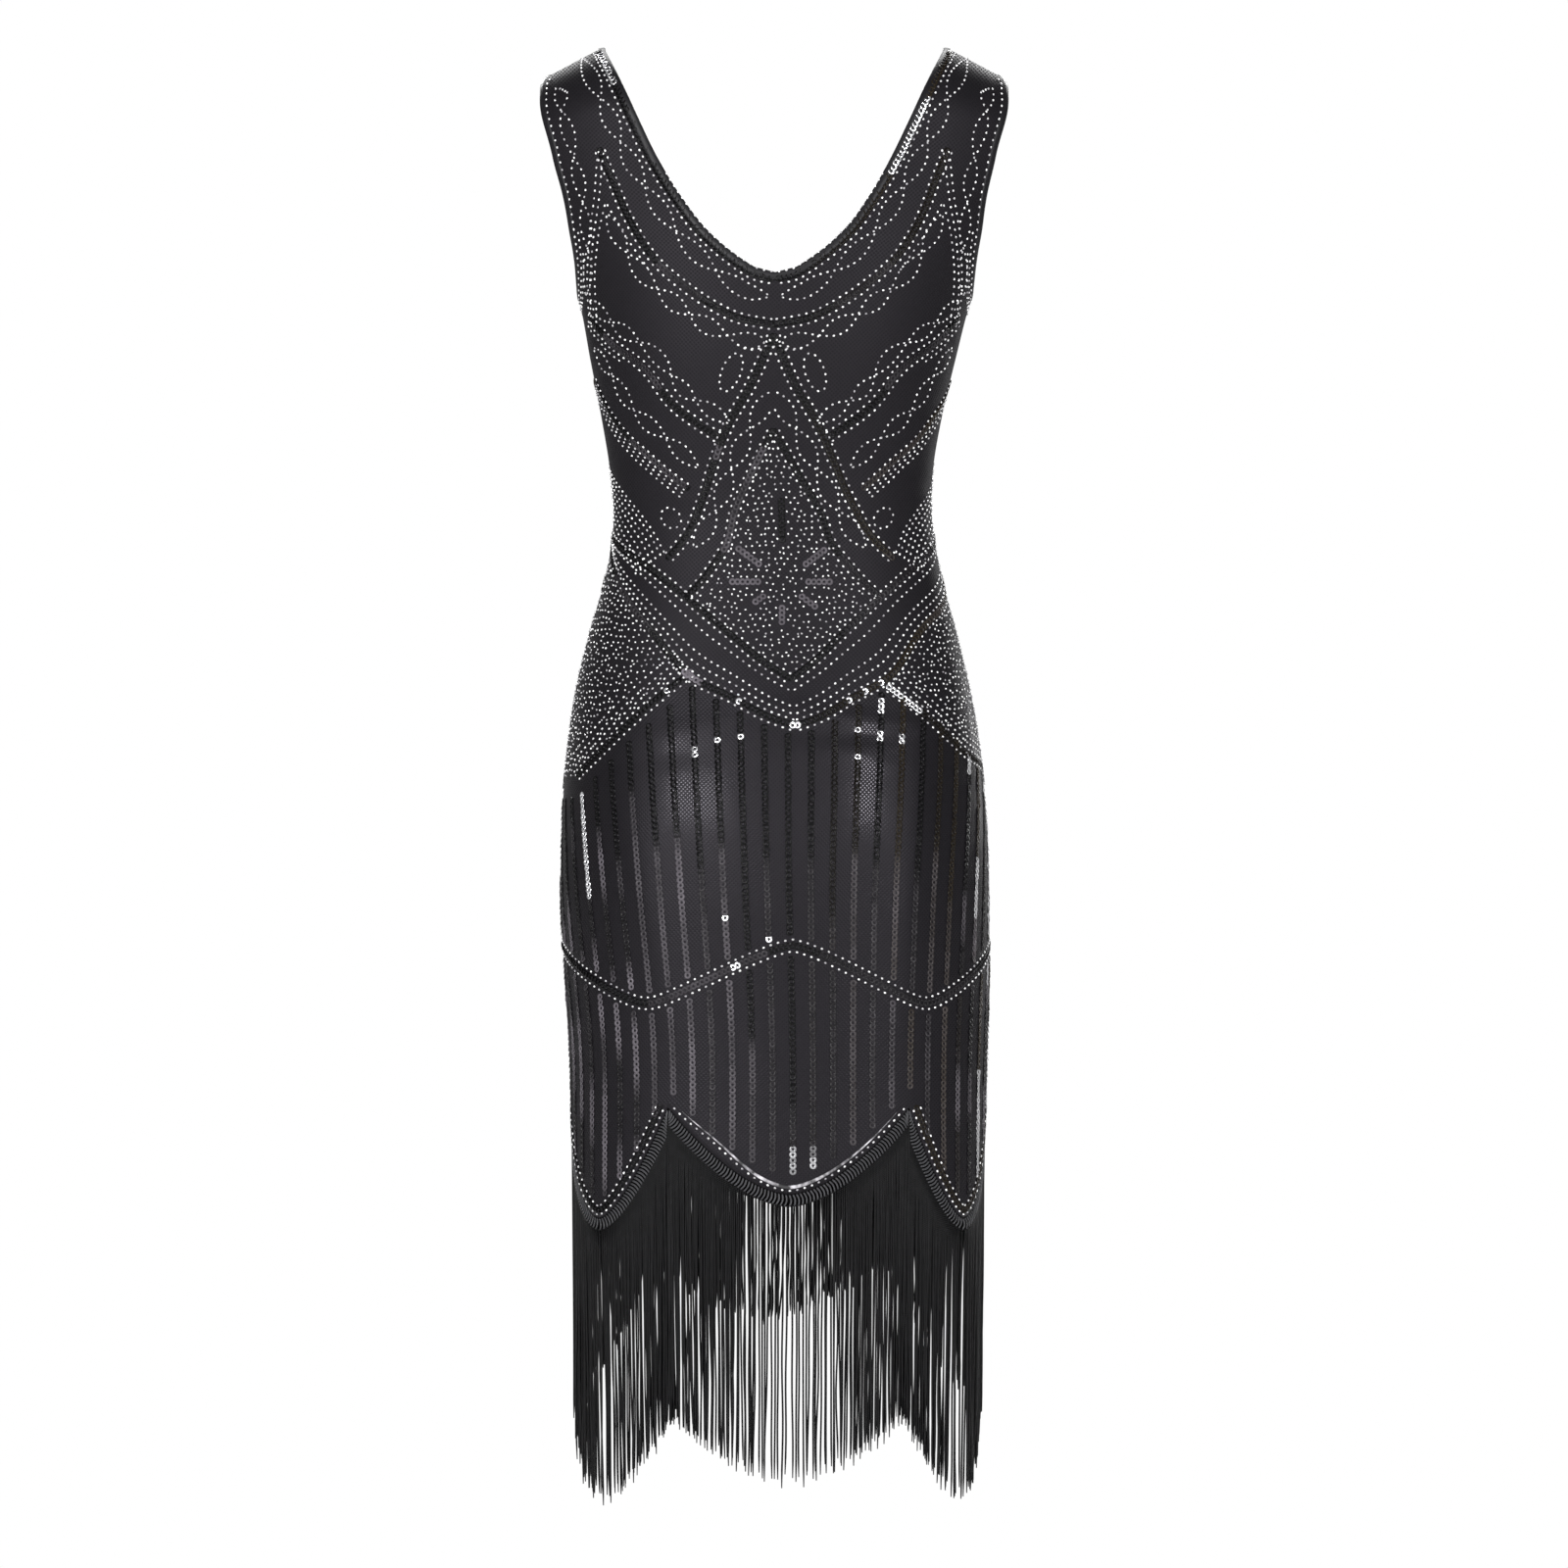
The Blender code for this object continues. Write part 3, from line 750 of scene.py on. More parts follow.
INNER_CHAIN = drawing([      # between the two diamonds
    (0.0000, 0.2600),
    (0.0184, 0.2906),
    (0.0327, 0.3205),
    (0.0474, 0.3522),
    (0.0647, 0.3781),
])
APEX_LINK = drawing([        # from the diamond's apex out to the ovals
    (0.0085, 0.2262),
    (0.0160, 0.2290),
    (0.0235, 0.2275),
])
OVALS = [                                # across, drop, half sizes, lean, share lowered in front
    (0.0315, 0.2465, (0.0150, 0.0072), 1.20, 0.7),
    (0.0807, 0.3552, (0.0090, 0.0070), -0.60, 0.1),
]
SEQUIN_LINES = [                         # lines with sequins, and how far off their beads lie
    (CHEVRON, 0.0038), (DIAMOND, 0.0040), (HEART, 0.0036), (HEART_FOOT, 0.0036),
    (GIRDLE_FOOT, 0.0040), (HIP_EDGE, 0.0038), (FANS[0], 0.0039), (FANS[1], 0.0027),
]
STAR_DROP = 0.4033                       # of the small diamond's star
RAYS = [                                 # the star's: degrees, near and far ends
    (0, 0.017, 0.036), (38, 0.020, 0.040), (90, 0.030, 0.062), (142, 0.020, 0.042),
    (180, 0.016, 0.038), (218, 0.016, 0.026), (270, 0.018, 0.032), (322, 0.016, 0.032),
]
WAVE_TROUGH_DROP = 0.7193
WAVE_HEIGHT = 0.0437
WAVE_BEAD_OFFSET = 0.0044
WAVE_MARKS = (-0.1590, -0.0975, 0.0125, 0.1110, 0.1590)     # across: crests and troughs in turn
ROW_BEAD_STEP = 0.0057
CHAIN_BEAD_STEP = 0.0054
RIM_BEAD_STEP = 0.0056
STREWN_BEAD_STEP = 0.0053
STREWN_ROW_STEP = 0.87       # of the step along a row
STREWN_JITTER = 0.30         # of the step, either way
STREWN_BEAD_SIZE = 0.86      # of the other beads' sizes
STREWN_FROM_RAYS = 0.0030
STREWN_FROM_ROWS = 0.0027
BEAD_HALF_SIZE = (0.00105, 0.00086, 0.00070)     # along the thread, across it, and off the cloth
BEAD_LIFT = 0.45 * BEAD_HALF_SIZE[2]     # of its middle off the cloth, which it sinks into
BEAD_MARGIN = 0.0018         # of bare cloth inside every edge
RIM_START = 0.55             # share of the neckline above the rim's beads
RIM_ROW = 0.0004
RIM_LIFT = 0.0010
BEAD_SILVERS = ((0.22, 0.21, 0.23, 1.0), (1.0, 1.0, 1.0, 1.0))
HEM_TRIM = (0.0024, 0.0055, 0.0088)              # beads, sequins and beads above the hem's edge
CENTRE_RISE = 0.0044         # of the centre scallop's one bead row on its left flank
rng = np.random.default_rng(7)


def neck_lowering(across, side):
    """How much deeper this side's neckline lies than the back's."""
    back, own = NECKLINES["back"], NECKLINES[side]
    order = slice(None, None, -1)
    own_drop = np.interp(across, own["half_width"][order], own["drop"][order])
    return own_drop - np.interp(across, back["half_width"][order], back["drop"][order])


def drawn(corners, step=0.0010):
    """A smooth line through a few places, each coordinate a cubic in the chord length."""
    chord = running_length(corners)
    source = {"chord": chord, "around": corners[:, 0], "drop": corners[:, 1]}
    at = np.linspace(0.0, chord[-1], int(chord[-1] / step) + 2)
    return np.stack([smooth(at, source, name, key="chord") for name in ("around", "drop")], axis=1)


def laid(source, side, hand):
    """One hand's line from a table of half the pattern, drifted with it and lowered at the neck."""
    fade = np.clip((NECK_FADE[1] - source["drop"]) / (NECK_FADE[1] - NECK_FADE[0]), 0.0, 1.0)
    drop = source["drop"] + neck_lowering(source["across"], side) * fade
    across = hand * source["across"] + smooth(drop, DRIFT, "sideways")
    if source is HIP_EDGE:
        drop = drop + HIP_SLANT * (across - HIP_LEVEL_ACROSS)
    return drawn(np.stack([around_at(across, drop, side), drop], axis=1))


def beside(line, offset, hand):
    """The line moved sideways: below a line that runs in and down, above one that runs out."""
    along = unit(np.gradient(line, axis=0))
    return line + hand * np.reshape(offset, (-1, 1)) * np.stack([along[:, 1], -along[:, 0]], axis=1)


def stitched(line, step, side):
    """Places at even steps along a line on the cloth, with the line's way there: four columns."""
    length = running_length(plain_point(line[:, 0], line[:, 1], side))
    count = max(int(round(length[-1] / step)), 1)
    at = (np.arange(count) + 0.5) / count * length[-1]
    ways = np.gradient(line, axis=0)
    return np.stack([np.interp(at, length, c) for c in (*line.T, *ways.T)], axis=1)


def crossed_chains(line, offset, swing, pitch, hand):
    """Two chains that swing against each other about a line: offset +/- swing sin(pi s / pitch)."""
    s = running_length(line)
    pitch = s[-1] / max(round(s[-1] / pitch), 1)
    wave = swing * np.sin(np.pi * s / pitch)
    return [beside(line, offset + wave, hand), beside(line, offset - wave, hand)]


def ring_line(centre, half_sizes, lean):
    """A closed oval about a place, leaning by an angle."""
    turn = np.linspace(0.0, 2 * np.pi, 90)
    a, b = half_sizes[0] * np.cos(turn), half_sizes[1] * np.sin(turn)
    return np.stack([centre[0] + a * np.cos(lean) - b * np.sin(lean),
                     centre[1] + a * np.sin(lean) + b * np.cos(lean)], axis=1)


def neck_edge(side, hand):
    """The bound neckline from shoulder to centre."""
    drop = np.linspace(0.0005, NECKLINES[side]["drop"][-1], 240)
    across = hand * smooth(drop, NECKLINES[side], "half_width")
    return np.stack([around_at(across, drop, side), drop], axis=1)


def arm_edge(side, hand):
    """The cloth's armhole edge from shoulder to underarm."""
    around, drop = panel_places(side, hand)
    last = np.searchsorted(row_levels(side), UNDERARM_DROP)
    return drawn(np.stack([around[1:last + 1, -1], drop[1:last + 1, -1]], axis=1))


def wave_line(side):
    """Crests and soft troughs: trough - height (1.12 v - 0.12 v^6), v a rounded |u| to a crest."""
    drop = np.full(500, WAVE_TROUGH_DROP - WAVE_HEIGHT / 2)
    around = np.linspace(-0.995, 0.995, 500) * half_girth(drop[0], side)
    marks = around_at(np.array(WAVE_MARKS), np.full(5, drop[0]), side)
    marks[[0, -1]] = around[[0, -1]]
    u = np.interp(around, marks, (1.0, 0.0, 1.0, 0.0, 1.0))
    v = (np.sqrt(u * u + 0.012) - 0.1095) / (1.006 - 0.1095)
    drop = WAVE_TROUGH_DROP - WAVE_HEIGHT * (1.12 * v - 0.12 * v ** 6)
    return np.stack([around, drop], axis=1)


def hem_lobes(side):
    """The hem's edge as three lines, one for each scallop, left to right."""
    left, right = TURN_SHARE - CUSP_SHARE, TURN_SHARE + CUSP_SHARE
    lines = []
    for start, end in ((-0.997, left), (left, right), (right, 0.997)):
        share = np.linspace(start, end, 200)[1:-1]
        drop = hem_drop(share)
        lines.append(np.stack([share * half_girth(drop, side), drop], axis=1))
    return lines


def left_flank(line):
    """1 on a scallop's left flank, softly 0 elsewhere: a Gaussian in the share of its length."""
    s = running_length(line)
    return np.exp(-((s / s[-1] - 0.20) / 0.15) ** 2)


def blend_line(low, high, share):
    """A line between two others, taken at equal shares of their lengths."""
    t = np.linspace(0.0, 1.0, 220)
    ends = []
    for line in (low, high):
        s = running_length(line)
        ends.append(np.stack([np.interp(t * s[-1], s, c) for c in line.T], axis=1))
    return ends[0] + share * (ends[1] - ends[0])


def inside(places, outline):
    """Whether each place lies inside a closed outline, by counting crossings to its right."""
    a = outline[None]
    b = np.roll(outline, -1, axis=0)[None]
    x, y = places[:, None, 0], places[:, None, 1]
    spans = (a[..., 1] > y) != (b[..., 1] > y)
    rise = np.where(spans, b[..., 1] - a[..., 1], 1.0)
    crossing = a[..., 0] + (y - a[..., 1]) / rise * (b[..., 0] - a[..., 0])
    return (spans & (x < crossing)).sum(axis=1) % 2 == 1


def strewn(outline, step):
    """Jittered places inside an outline, on rows of a triangular grid, their threads curling."""
    low, high = outline.min(axis=0), outline.max(axis=0)
    columns = int((high[0] - low[0]) / step) + 2
    rows = int((high[1] - low[1]) / (STREWN_ROW_STEP * step)) + 2
    column, row = np.meshgrid(np.arange(columns), np.arange(rows))
    grid = np.stack([column + 0.5 * (row % 2), STREWN_ROW_STEP * row], axis=-1).reshape(-1, 2)
    places = low + grid * step + rng.uniform(-STREWN_JITTER, STREWN_JITTER, grid.shape) * step
    places = places[inside(places, outline)]
    curl = 2.6 * np.sin(places[:, 0] / 0.0065) + 2.2 * np.cos(places[:, 1] / 0.0055)
    return np.concatenate([places, np.stack([np.cos(curl), np.sin(curl)], axis=1)], axis=1)


def on_cloth(places, side, margin):
    """Keeps the places that lie on the cloth, this far inside its neckline, armholes and seams."""
    around, drop = places[:, 0], places[:, 1]
    cut = cut_neckline(side)
    inner = around_at(np.interp(drop, cut["drop"], cut["half_width"]), drop, side)
    edge = arm_edge(side, 1)
    outer = np.where(drop < UNDERARM_DROP, np.interp(drop, edge[:, 1], edge[:, 0]),
                     half_girth(drop, side))
    below_neck = drop > cut["drop"][-1] + margin
    clear = (np.abs(around) > inner + margin) | below_neck
    return places[clear & (np.abs(around) < outer - margin) & (drop > 0.0015)]


def clear_of(places, others, distance):
    """Keeps the places that are further than this from every other one."""
    gap = np.hypot(places[:, None, 0] - others[None, :, 0], places[:, None, 1] - others[None, :, 1])
    return places[gap.min(axis=1) > distance]


def sequin_lines(side):
    """Lines of sequins between two rows of beads: each line, its hand and the rows' offset."""
    lines = []
    for hand in HANDS:
        for source, offset in SEQUIN_LINES:
            lines.append((laid(source, side, hand), hand, offset))
    lines.append((wave_line(side), 1, WAVE_BEAD_OFFSET))
    return lines


def part_of(line, start, end):
    """The part of a line between two shares of its points."""
    return line[int(len(line) * start):int(len(line) * end)]


def bead_rows(side, hand):
    """Straight rows of beads on one hand: edges, branches, nested chevrons, fans and hip rows."""
    neck, arm = neck_edge(side, hand), arm_edge(side, hand)
    foot, girdle = laid(HEART_FOOT, side, hand), laid(GIRDLE_FOOT, side, hand)
    fan_a, fan_b, fan_c = (laid(fan, side, hand) for fan in FANS)
    branch = laid(STRAP_BRANCH, side, hand)
    rows = [beside(neck, NECK_ROW, hand)]
    rows += [beside(part_of(arm, start, 1.0), offset, hand) for start, offset in ARM_ROWS]
    rows += [branch, beside(branch, STRAP_ROW, hand)]
    rows += [laid(source, side, hand) for source in (INNER_CHEVRON, INNER_BRANCH, APEX_LINK)]
    rows.append(beside(part_of(fan_a, 0.0, FAN_A_PART), FAN_A_ROW, hand))
    rows += [beside(fan_b, offset, hand) for offset in FAN_B_ROWS]
    rows += [beside(fan_c, offset, hand) for offset in FAN_C_ROWS]
    rows += [blend_line(foot, girdle, share) for share in GIRDLE_SHARES]
    rows += [beside(laid(HIP_EDGE, side, hand), offset, hand) for offset in HIP_ROWS]
    return rows


def bead_chains(side, hand):
    """Crossed chains on one hand: in the diamond, by edges, chevron and fans; and the ovals."""
    lines = {"inner": laid(INNER_CHAIN, side, hand), "neck": neck_edge(side, hand),
             "arm": arm_edge(side, hand), "chevron": laid(CHEVRON, side, hand),
             "fan": laid(FANS[0], side, hand), "between": laid(FAN_CHAIN, side, hand)}
    centre = lines["inner"][0, 0]
    chains = []
    for name, start, end, offset, swing, pitch in CHAINS:
        chains += crossed_chains(part_of(lines[name], start, end), offset, swing, pitch, hand)
        if name == "inner":      # kept to its own hand of the centre
            chains = [chain[hand * (chain[:, 0] - centre) > 0.001] for chain in chains]
    for across, drop, half_sizes, lean, lowered in OVALS:
        drop += neck_lowering(across, side) * lowered
        centre = (hand * across + float(smooth(drop, DRIFT, "sideways")), drop)
        chains.append(ring_line(centre, half_sizes, hand * lean))
    return chains


def heart_rays():
    """Eight short rows like a star's rays in the small diamond."""
    centre = smooth(STAR_DROP, DRIFT, "sideways")
    rays = []
    for turn, near, far in RAYS:
        way = np.array([np.cos(np.radians(turn)), -np.sin(np.radians(turn))])
        reach = np.linspace(near, far, 30)[:, None]
        rays.append(np.array([centre, STAR_DROP]) + reach * way)
    return rays


def strewn_places(side, sewn):
    """Strewn beads: inside the small diamond and in the hip triangles."""
    heart = [laid(HEART, side, hand) for hand in HANDS]
    foot = [part_of(laid(HEART_FOOT, side, hand), 0.0, HEART_FOOT_PART) for hand in HANDS]
    outlines = [np.concatenate([heart[0], foot[0][::-1], foot[1], heart[1][::-1]])]
    for hand in HANDS:
        girdle = laid(GIRDLE_FOOT, side, hand)
        hip = laid(HIP_EDGE, side, hand)
        up = np.linspace(hip[-1, 1], girdle[-1, 1], 12)
        seam = np.stack([hand * half_girth(up, side), up], axis=1)
        outlines.append(np.concatenate([part_of(girdle, HIP_START, 1.0)[::-1], hip, seam]))
    places = np.concatenate([strewn(outline, STREWN_BEAD_STEP) for outline in outlines])
    places = clear_of(places, np.concatenate(heart_rays()), STREWN_FROM_RAYS)
    return clear_of(places, sewn, STREWN_FROM_ROWS)


def bead_places(side):
    """All of a side's beads: rows, pairs of rows beside sequins, hem rows, chains and strewn."""
    rows = [row for hand in HANDS for row in bead_rows(side, hand)]
    for line, hand, offset in sequin_lines(side):
        rows += [beside(line, offset, hand), beside(line, -offset, hand)]
    left, centre, right = hem_lobes(side)
    rows += [beside(line, offset, 1) for line in (left, right) for offset in HEM_TRIM[::2]]
    rows.append(beside(centre, HEM_TRIM[0] + CENTRE_RISE * left_flank(centre), 1))
    places = [stitched(row, ROW_BEAD_STEP, side) for row in rows]
    chains = [chain for hand in HANDS for chain in bead_chains(side, hand)]
    places += [stitched(chain, CHAIN_BEAD_STEP, side) for chain in chains]
    sewn = np.concatenate(places)
    scattered = strewn_places(side, sewn)
    size = np.repeat([1.0, STREWN_BEAD_SIZE], [len(sewn), len(scattered)])
    everything = np.concatenate([sewn, scattered])
    return on_cloth(np.concatenate([everything, size[:, None]], axis=1), side, BEAD_MARGIN)


def rim_places(side):
    """Single beads along the lower part of the bound neckline, sewn through its fold."""
    rims = []
    for hand in HANDS:
        rim = beside(part_of(neck_edge(side, hand), RIM_START, 1.0), RIM_ROW, hand)
        rims.append(stitched(rim, RIM_BEAD_STEP, side))
    return np.concatenate(rims)


def lathe(profile, sides):
    """Rings of points: a profile of (along, radius) spun round the first axis."""
    turn = np.arange(sides) / sides * 2 * np.pi
    rings = [np.stack([np.full(sides, a), r * np.cos(turn), r * np.sin(turn)], axis=1)
             for a, r in profile]
    return np.concatenate(rings)


def bead_shape():
    """A ball squashed to the bead's sizes: two poles and two rings of six."""
    rings = lathe([(-0.5, 0.87), (0.5, 0.87)], 6)
    points = np.concatenate([[[-1.0, 0.0, 0.0]], rings, [[1.0, 0.0, 0.0]]])
    a = np.arange(6)
    b = (a + 1) % 6
    start = np.stack([np.zeros(6, int), 1 + a, 1 + b], axis=1)
    band = np.concatenate([np.stack([1 + a, 7 + a, 7 + b], axis=1),
                           np.stack([1 + a, 7 + b, 1 + b], axis=1)])
    end = np.stack([7 + a, np.full(6, 13), 7 + b], axis=1)
    return points * BEAD_HALF_SIZE, np.concatenate([start, band, end])[:, ::-1]


def sewn_axes(places, side, lift):
    """Positions off the cloth and axes (along the thread, across it, outward) at each place."""
    point, outward, right, down = cloth_frame(places[:, 0], places[:, 1], side)
    along = unit(places[:, 2:3] * right + places[:, 3:4] * down)
    across = unit(np.cross(outward, along))
    return point + lift * outward, np.stack([along, across, outward], axis=1)


def copied(name, shape, faces, at, axes, material):
    """One mesh with a copy of a small shape at each place: the place plus the shape's own axes."""
    points = at[:, None, :] + np.einsum("vk,nkc->nvc", shape, axes)
    index = faces[None] + (np.arange(len(at)) * len(shape))[:, None, None]
    return new_piece(name, material, points.reshape(-1, 3), index.reshape(-1, faces.shape[1]))


def silver_glass():
    """Clear glass over a silver lining, greyer or brighter from bead to bead."""
    add, work, blend, shade = new_material("silver_lined_bead")
    place = add("ShaderNodeTexCoord")["Object"]
    lot = add("ShaderNodeTexWhiteNoise", {"Vector": add(
        "ShaderNodeVectorMath", {0: place, 1: (0.004, 0.004, 0.004)}, operation="SNAP")["Vector"]})
    colour = blend(work("POWER", lot["Value"], 0.8), *BEAD_SILVERS)
    return shade({"Base Color": colour, "Metallic": 0.10, "Roughness": 0.25, "Coat Weight": 0.6})


silver = silver_glass()
bead_pieces = {}
for side_name in SIDES:
    seats = bead_places(side_name)
    shape, faces = bead_shape()
    at, axes = sewn_axes(seats, side_name, BEAD_LIFT)
    axes = axes * seats[:, 4][:, None, None]
    rim_at, rim_axes = sewn_axes(rim_places(side_name), side_name, RIM_LIFT)
    at, axes = np.concatenate([at, rim_at]), np.concatenate([axes, rim_axes])
    bead_pieces[side_name] = copied("beads_" + side_name, shape, faces, at, axes, silver)


# ---- Sequins
# Cupped black sequins of 5.4 mm, each overlapping the next like a chain: upright stripes down the
# skirt, single rows between the beaded pairs, and a row beside the bound neckline.  They tilt on
# their threads; runs of them are coloured grey as painted reflections, and a few are coloured
# silver, made metallic too, as painted glints.
SEQUIN_RADIUS = 0.0027
SEQUIN_STEP = 0.0037
STRIPE_STEP = 0.0042
SEQUIN_SIDES = 10
SEQUIN_PROFILE = [(-0.00012, 1.00), (0.00012, 0.97), (0.00004, 0.52), (-0.00040, 0.36)]
STRIPE_PITCHES = table(       # the stripes draw together from the hips to the hem
    ("drop", "pitch"), [
        (0.46, 0.0178),
        (0.57, 0.0176),
        (0.64, 0.0167),
        (0.735, 0.0154),
        (0.90, 0.0150),
    ])
SEQUIN_LIFT = 0.00045
SEQUIN_MARGIN = 0.0008       # of bare cloth inside every edge
OVERLAP_LEAN = -0.13         # radians, as each lies on the next
RUN_LEAN = 0.10              # more or less along a run
LEAN_SPREAD = 0.05
ROLL_SPREAD = 0.07
SEQUIN_NECK_ROW = 0.0056     # inwards of the bound neckline
STRIPE_SHIFT = 0.0110        # of the middle stripe from the centre line
STRIPE_CLEAR_TOP = 0.0075
STRIPE_CLEAR_WAVE = 0.0075
STRIPE_CLEAR_HEM = 0.0145
STRIPE_TONES = table(        # the back's stripes: black down to a drop, then paler, with painted grey reflection
    ("number", "black_to", "painted_greyness"), [
        (-7, 0.557, 0.50),
        (-6, 0.597, 0.60),
        (-5, 0.590, 0.90),
        (-4, 0.615, 0.20),
        (-3, 0.597, 0.60),
        (-2, 0.742, 0.35),
        (-1, 0.607, 0.12),
        (0, 0.790, 0.05),
        (1, 0.607, 0.08),
        (2, 0.650, 0.06),
        (3, 0.602, 0.35),
        (4, 0.610, 0.16),
        (5, 0.605, 0.42),
        (6, 0.622, 0.12),
        (7, 0.600, 0.22),
        (8, 0.640, 0.18),
    ])
GLINTS = table(              # painted glints: single sequins and pairs on the back coloured silver
    ("across", "drop", "count"), [
        (-0.0740, 0.489, 1),
        (-0.0215, 0.489, 1),
        (-0.0414, 0.523, 1),
        (-0.0600, 0.532, 2),
        (-0.0237, 0.519, 1),
        (0.0163, 0.508, 2),
        (0.0600, 0.513, 1),
        (0.0577, 0.495, 1),
        (0.0740, 0.492, 2),
        (0.0888, 0.497, 2),
        (0.0762, 0.518, 2),
        (0.0940, 0.5195, 2),
        (0.0590, 0.533, 1),
        (-0.0377, 0.657, 1),
        (-0.0037, 0.671, 1),
        (-0.0290, 0.693, 2),
    ])
ROW_TONES = table(           # lengths of the back's single rows coloured greyer than black, painted reflections
    ("across_from", "across_to", "drop_from", "drop_to", "painted_greyness"), [
        (-0.0880, -0.0460, 0.163, 0.191, 0.30),
        (0.0410, 0.0870, 0.163, 0.196, 0.20),
        (-0.1290, -0.0840, 0.213, 0.259, 0.35),
        (0.0840, 0.1340, 0.213, 0.259, 0.25),
        (-0.0420, -0.0060, 0.301, 0.380, 0.55),
        (-0.1165, -0.0660, 0.296, 0.334, 0.45),
        (0.0610, 0.1170, 0.287, 0.334, 0.25),
        (-0.0660, -0.0540, 0.465, 0.480, 1.60),
        (-0.0960, -0.0080, 0.670, 0.722, 0.50),
        (0.0300, 0.1500, 0.680, 0.722, 0.15),
        (-0.1300, -0.0900, 0.400, 0.460, 0.25),
        (0.0500, 0.1300, 0.380, 0.440, 0.20),
    ])
SHINE_PATCHES = table(       # painted glints: runs on the back coloured silver, by what lies across and down
    ("across_from", "across_to", "drop_from", "drop_to"), [
        (0.080, 0.116, 0.031, 0.098),
        (0.081, 0.110, 0.478, 0.506),
        (-0.132, -0.118, 0.000, 0.030),
    ])
FOOT_GLINTS = (0.006, 0.030, 0.826)      # across from and to, and below which drop
EDGE_GLINT = (-10, 0.545, 0.640)         # of which stripe, and the drops from and to
FILM_BLACK = np.array([0.0022, 0.0021, 0.0024])
FILM_PALER = np.array([0.014, 0.013, 0.014])     # this and the next two are added to the black
# painted reflection: the grey of black sequins that mirror the lamps
FILM_PAINTED_GREY = np.array([0.088, 0.080, 0.091])
FILM_BROWN = np.array([0.014, 0.010, 0.005])
# painted glints: the silver given to single sequins, made metallic too
FILM_GLINT_SILVER = np.array([0.92, 0.92, 0.95])


def stripe_top(across):
    """Drop of the beadwork's lower boundary: the lowest chevron's middle, then the hip edge."""
    foot = [np.concatenate([GIRDLE_FOOT[column][:4], HIP_EDGE[column][1:]])
            for column in ("across", "drop")]
    return np.interp(np.abs(across), *foot)


def around_to_across(around, drop, side):
    """How far across the section a distance round it reaches."""
    angle = np.interp(np.abs(around) / half_girth(drop, side), SHARES, ANGLES)
    return np.sign(around) * round_section(angle, half_width(drop), 0.0)[0]


def stripe_places(side):
    """Stripes from the beadwork to the hem's trim, each with its number from the middle one."""
    drop = np.linspace(0.46, 0.90, 600)
    pitch = smooth(drop, STRIPE_PITCHES, "pitch")
    wave = wave_line(side)
    most = int(half_girth(0.60, side) / pitch.min()) + 1
    stripes = []
    for k in range(-most, most + 1):
        around = k * pitch + STRIPE_SHIFT
        share = around / half_girth(drop, side)
        across = around_to_across(around, drop, side) - smooth(drop, DRIFT, "sideways")
        clear_top = drop > stripe_top(across) + STRIPE_CLEAR_TOP
        clear_wave = np.abs(drop - np.interp(around, *wave.T)) > STRIPE_CLEAR_WAVE
        clear_hem = drop < hem_drop(share) - STRIPE_CLEAR_HEM
        keep = clear_top & clear_wave & clear_hem & (np.abs(share) < 0.985)
        breaks = np.flatnonzero(np.diff(keep.astype(int))) + 1
        for run in np.split(np.arange(len(drop)), breaks):
            if keep[run[0]] and len(run) > 12:
                stripes.append((k, np.stack([around[run], drop[run]], axis=1)))
    return stripes


def sequin_shape():
    """A cupped disc with a hole: rings of the profile's heights and radii round the last axis."""
    turn = np.arange(SEQUIN_SIDES) / SEQUIN_SIDES * 2 * np.pi
    rings = [np.stack([SEQUIN_RADIUS * r * np.cos(turn), SEQUIN_RADIUS * r * np.sin(turn),
                       np.full(SEQUIN_SIDES, h)], axis=1) for h, r in SEQUIN_PROFILE]
    return np.concatenate(rings), ring_quads(len(SEQUIN_PROFILE), SEQUIN_SIDES)


def tilted(axes, lean, roll):
    """The axes leaned back along the row and rolled across it, by small angles."""
    along, across, outward = axes[:, 0], axes[:, 1], axes[:, 2]
    new_outward = unit(outward + lean[:, None] * along + roll[:, None] * across)
    new_along = unit(along - np.sum(along * new_outward, axis=1, keepdims=True) * new_outward)
    return np.stack([new_along, np.cross(new_outward, new_along), new_outward], axis=1)


def sequin_runs(side):
    """Each sequin's place, its row's number, its order there, whether striped, and which stripe."""
    lines = [(0, line) for line, _, _ in sequin_lines(side)]
    lines += [(0, beside(neck_edge(side, hand), SEQUIN_NECK_ROW, hand)) for hand in HANDS]
    lines += [(0, beside(line, HEM_TRIM[1], 1)) for line in hem_lobes(side)[::2]]
    lines += [(0, ray) for ray in heart_rays()]
    rows = len(lines)
    lines += stripe_places(side)
    runs = []
    for number, (stripe, line) in enumerate(lines):
        places = stitched(line, SEQUIN_STEP if number < rows else STRIPE_STEP, side)
        extra = np.full((len(places), 4), (number, 0, number >= rows, stripe), float)
        extra[:, 1] = np.arange(len(places))
        runs.append(np.concatenate([places, extra], axis=1))
    return on_cloth(np.concatenate(runs), side, SEQUIN_MARGIN)


def rays_from(side):
    """Number of the star's first ray among a side's rows."""
    return len(sequin_lines(side)) + len(HANDS) + 2


def ramp(value, start, span):
    """0 up to a start, then rising evenly to 1 over a span."""
    return np.clip((value - start) / span, 0.0, 1.0)


def within(value, low, high):
    """Whether a value lies between two others."""
    return (value > low) & (value < high)


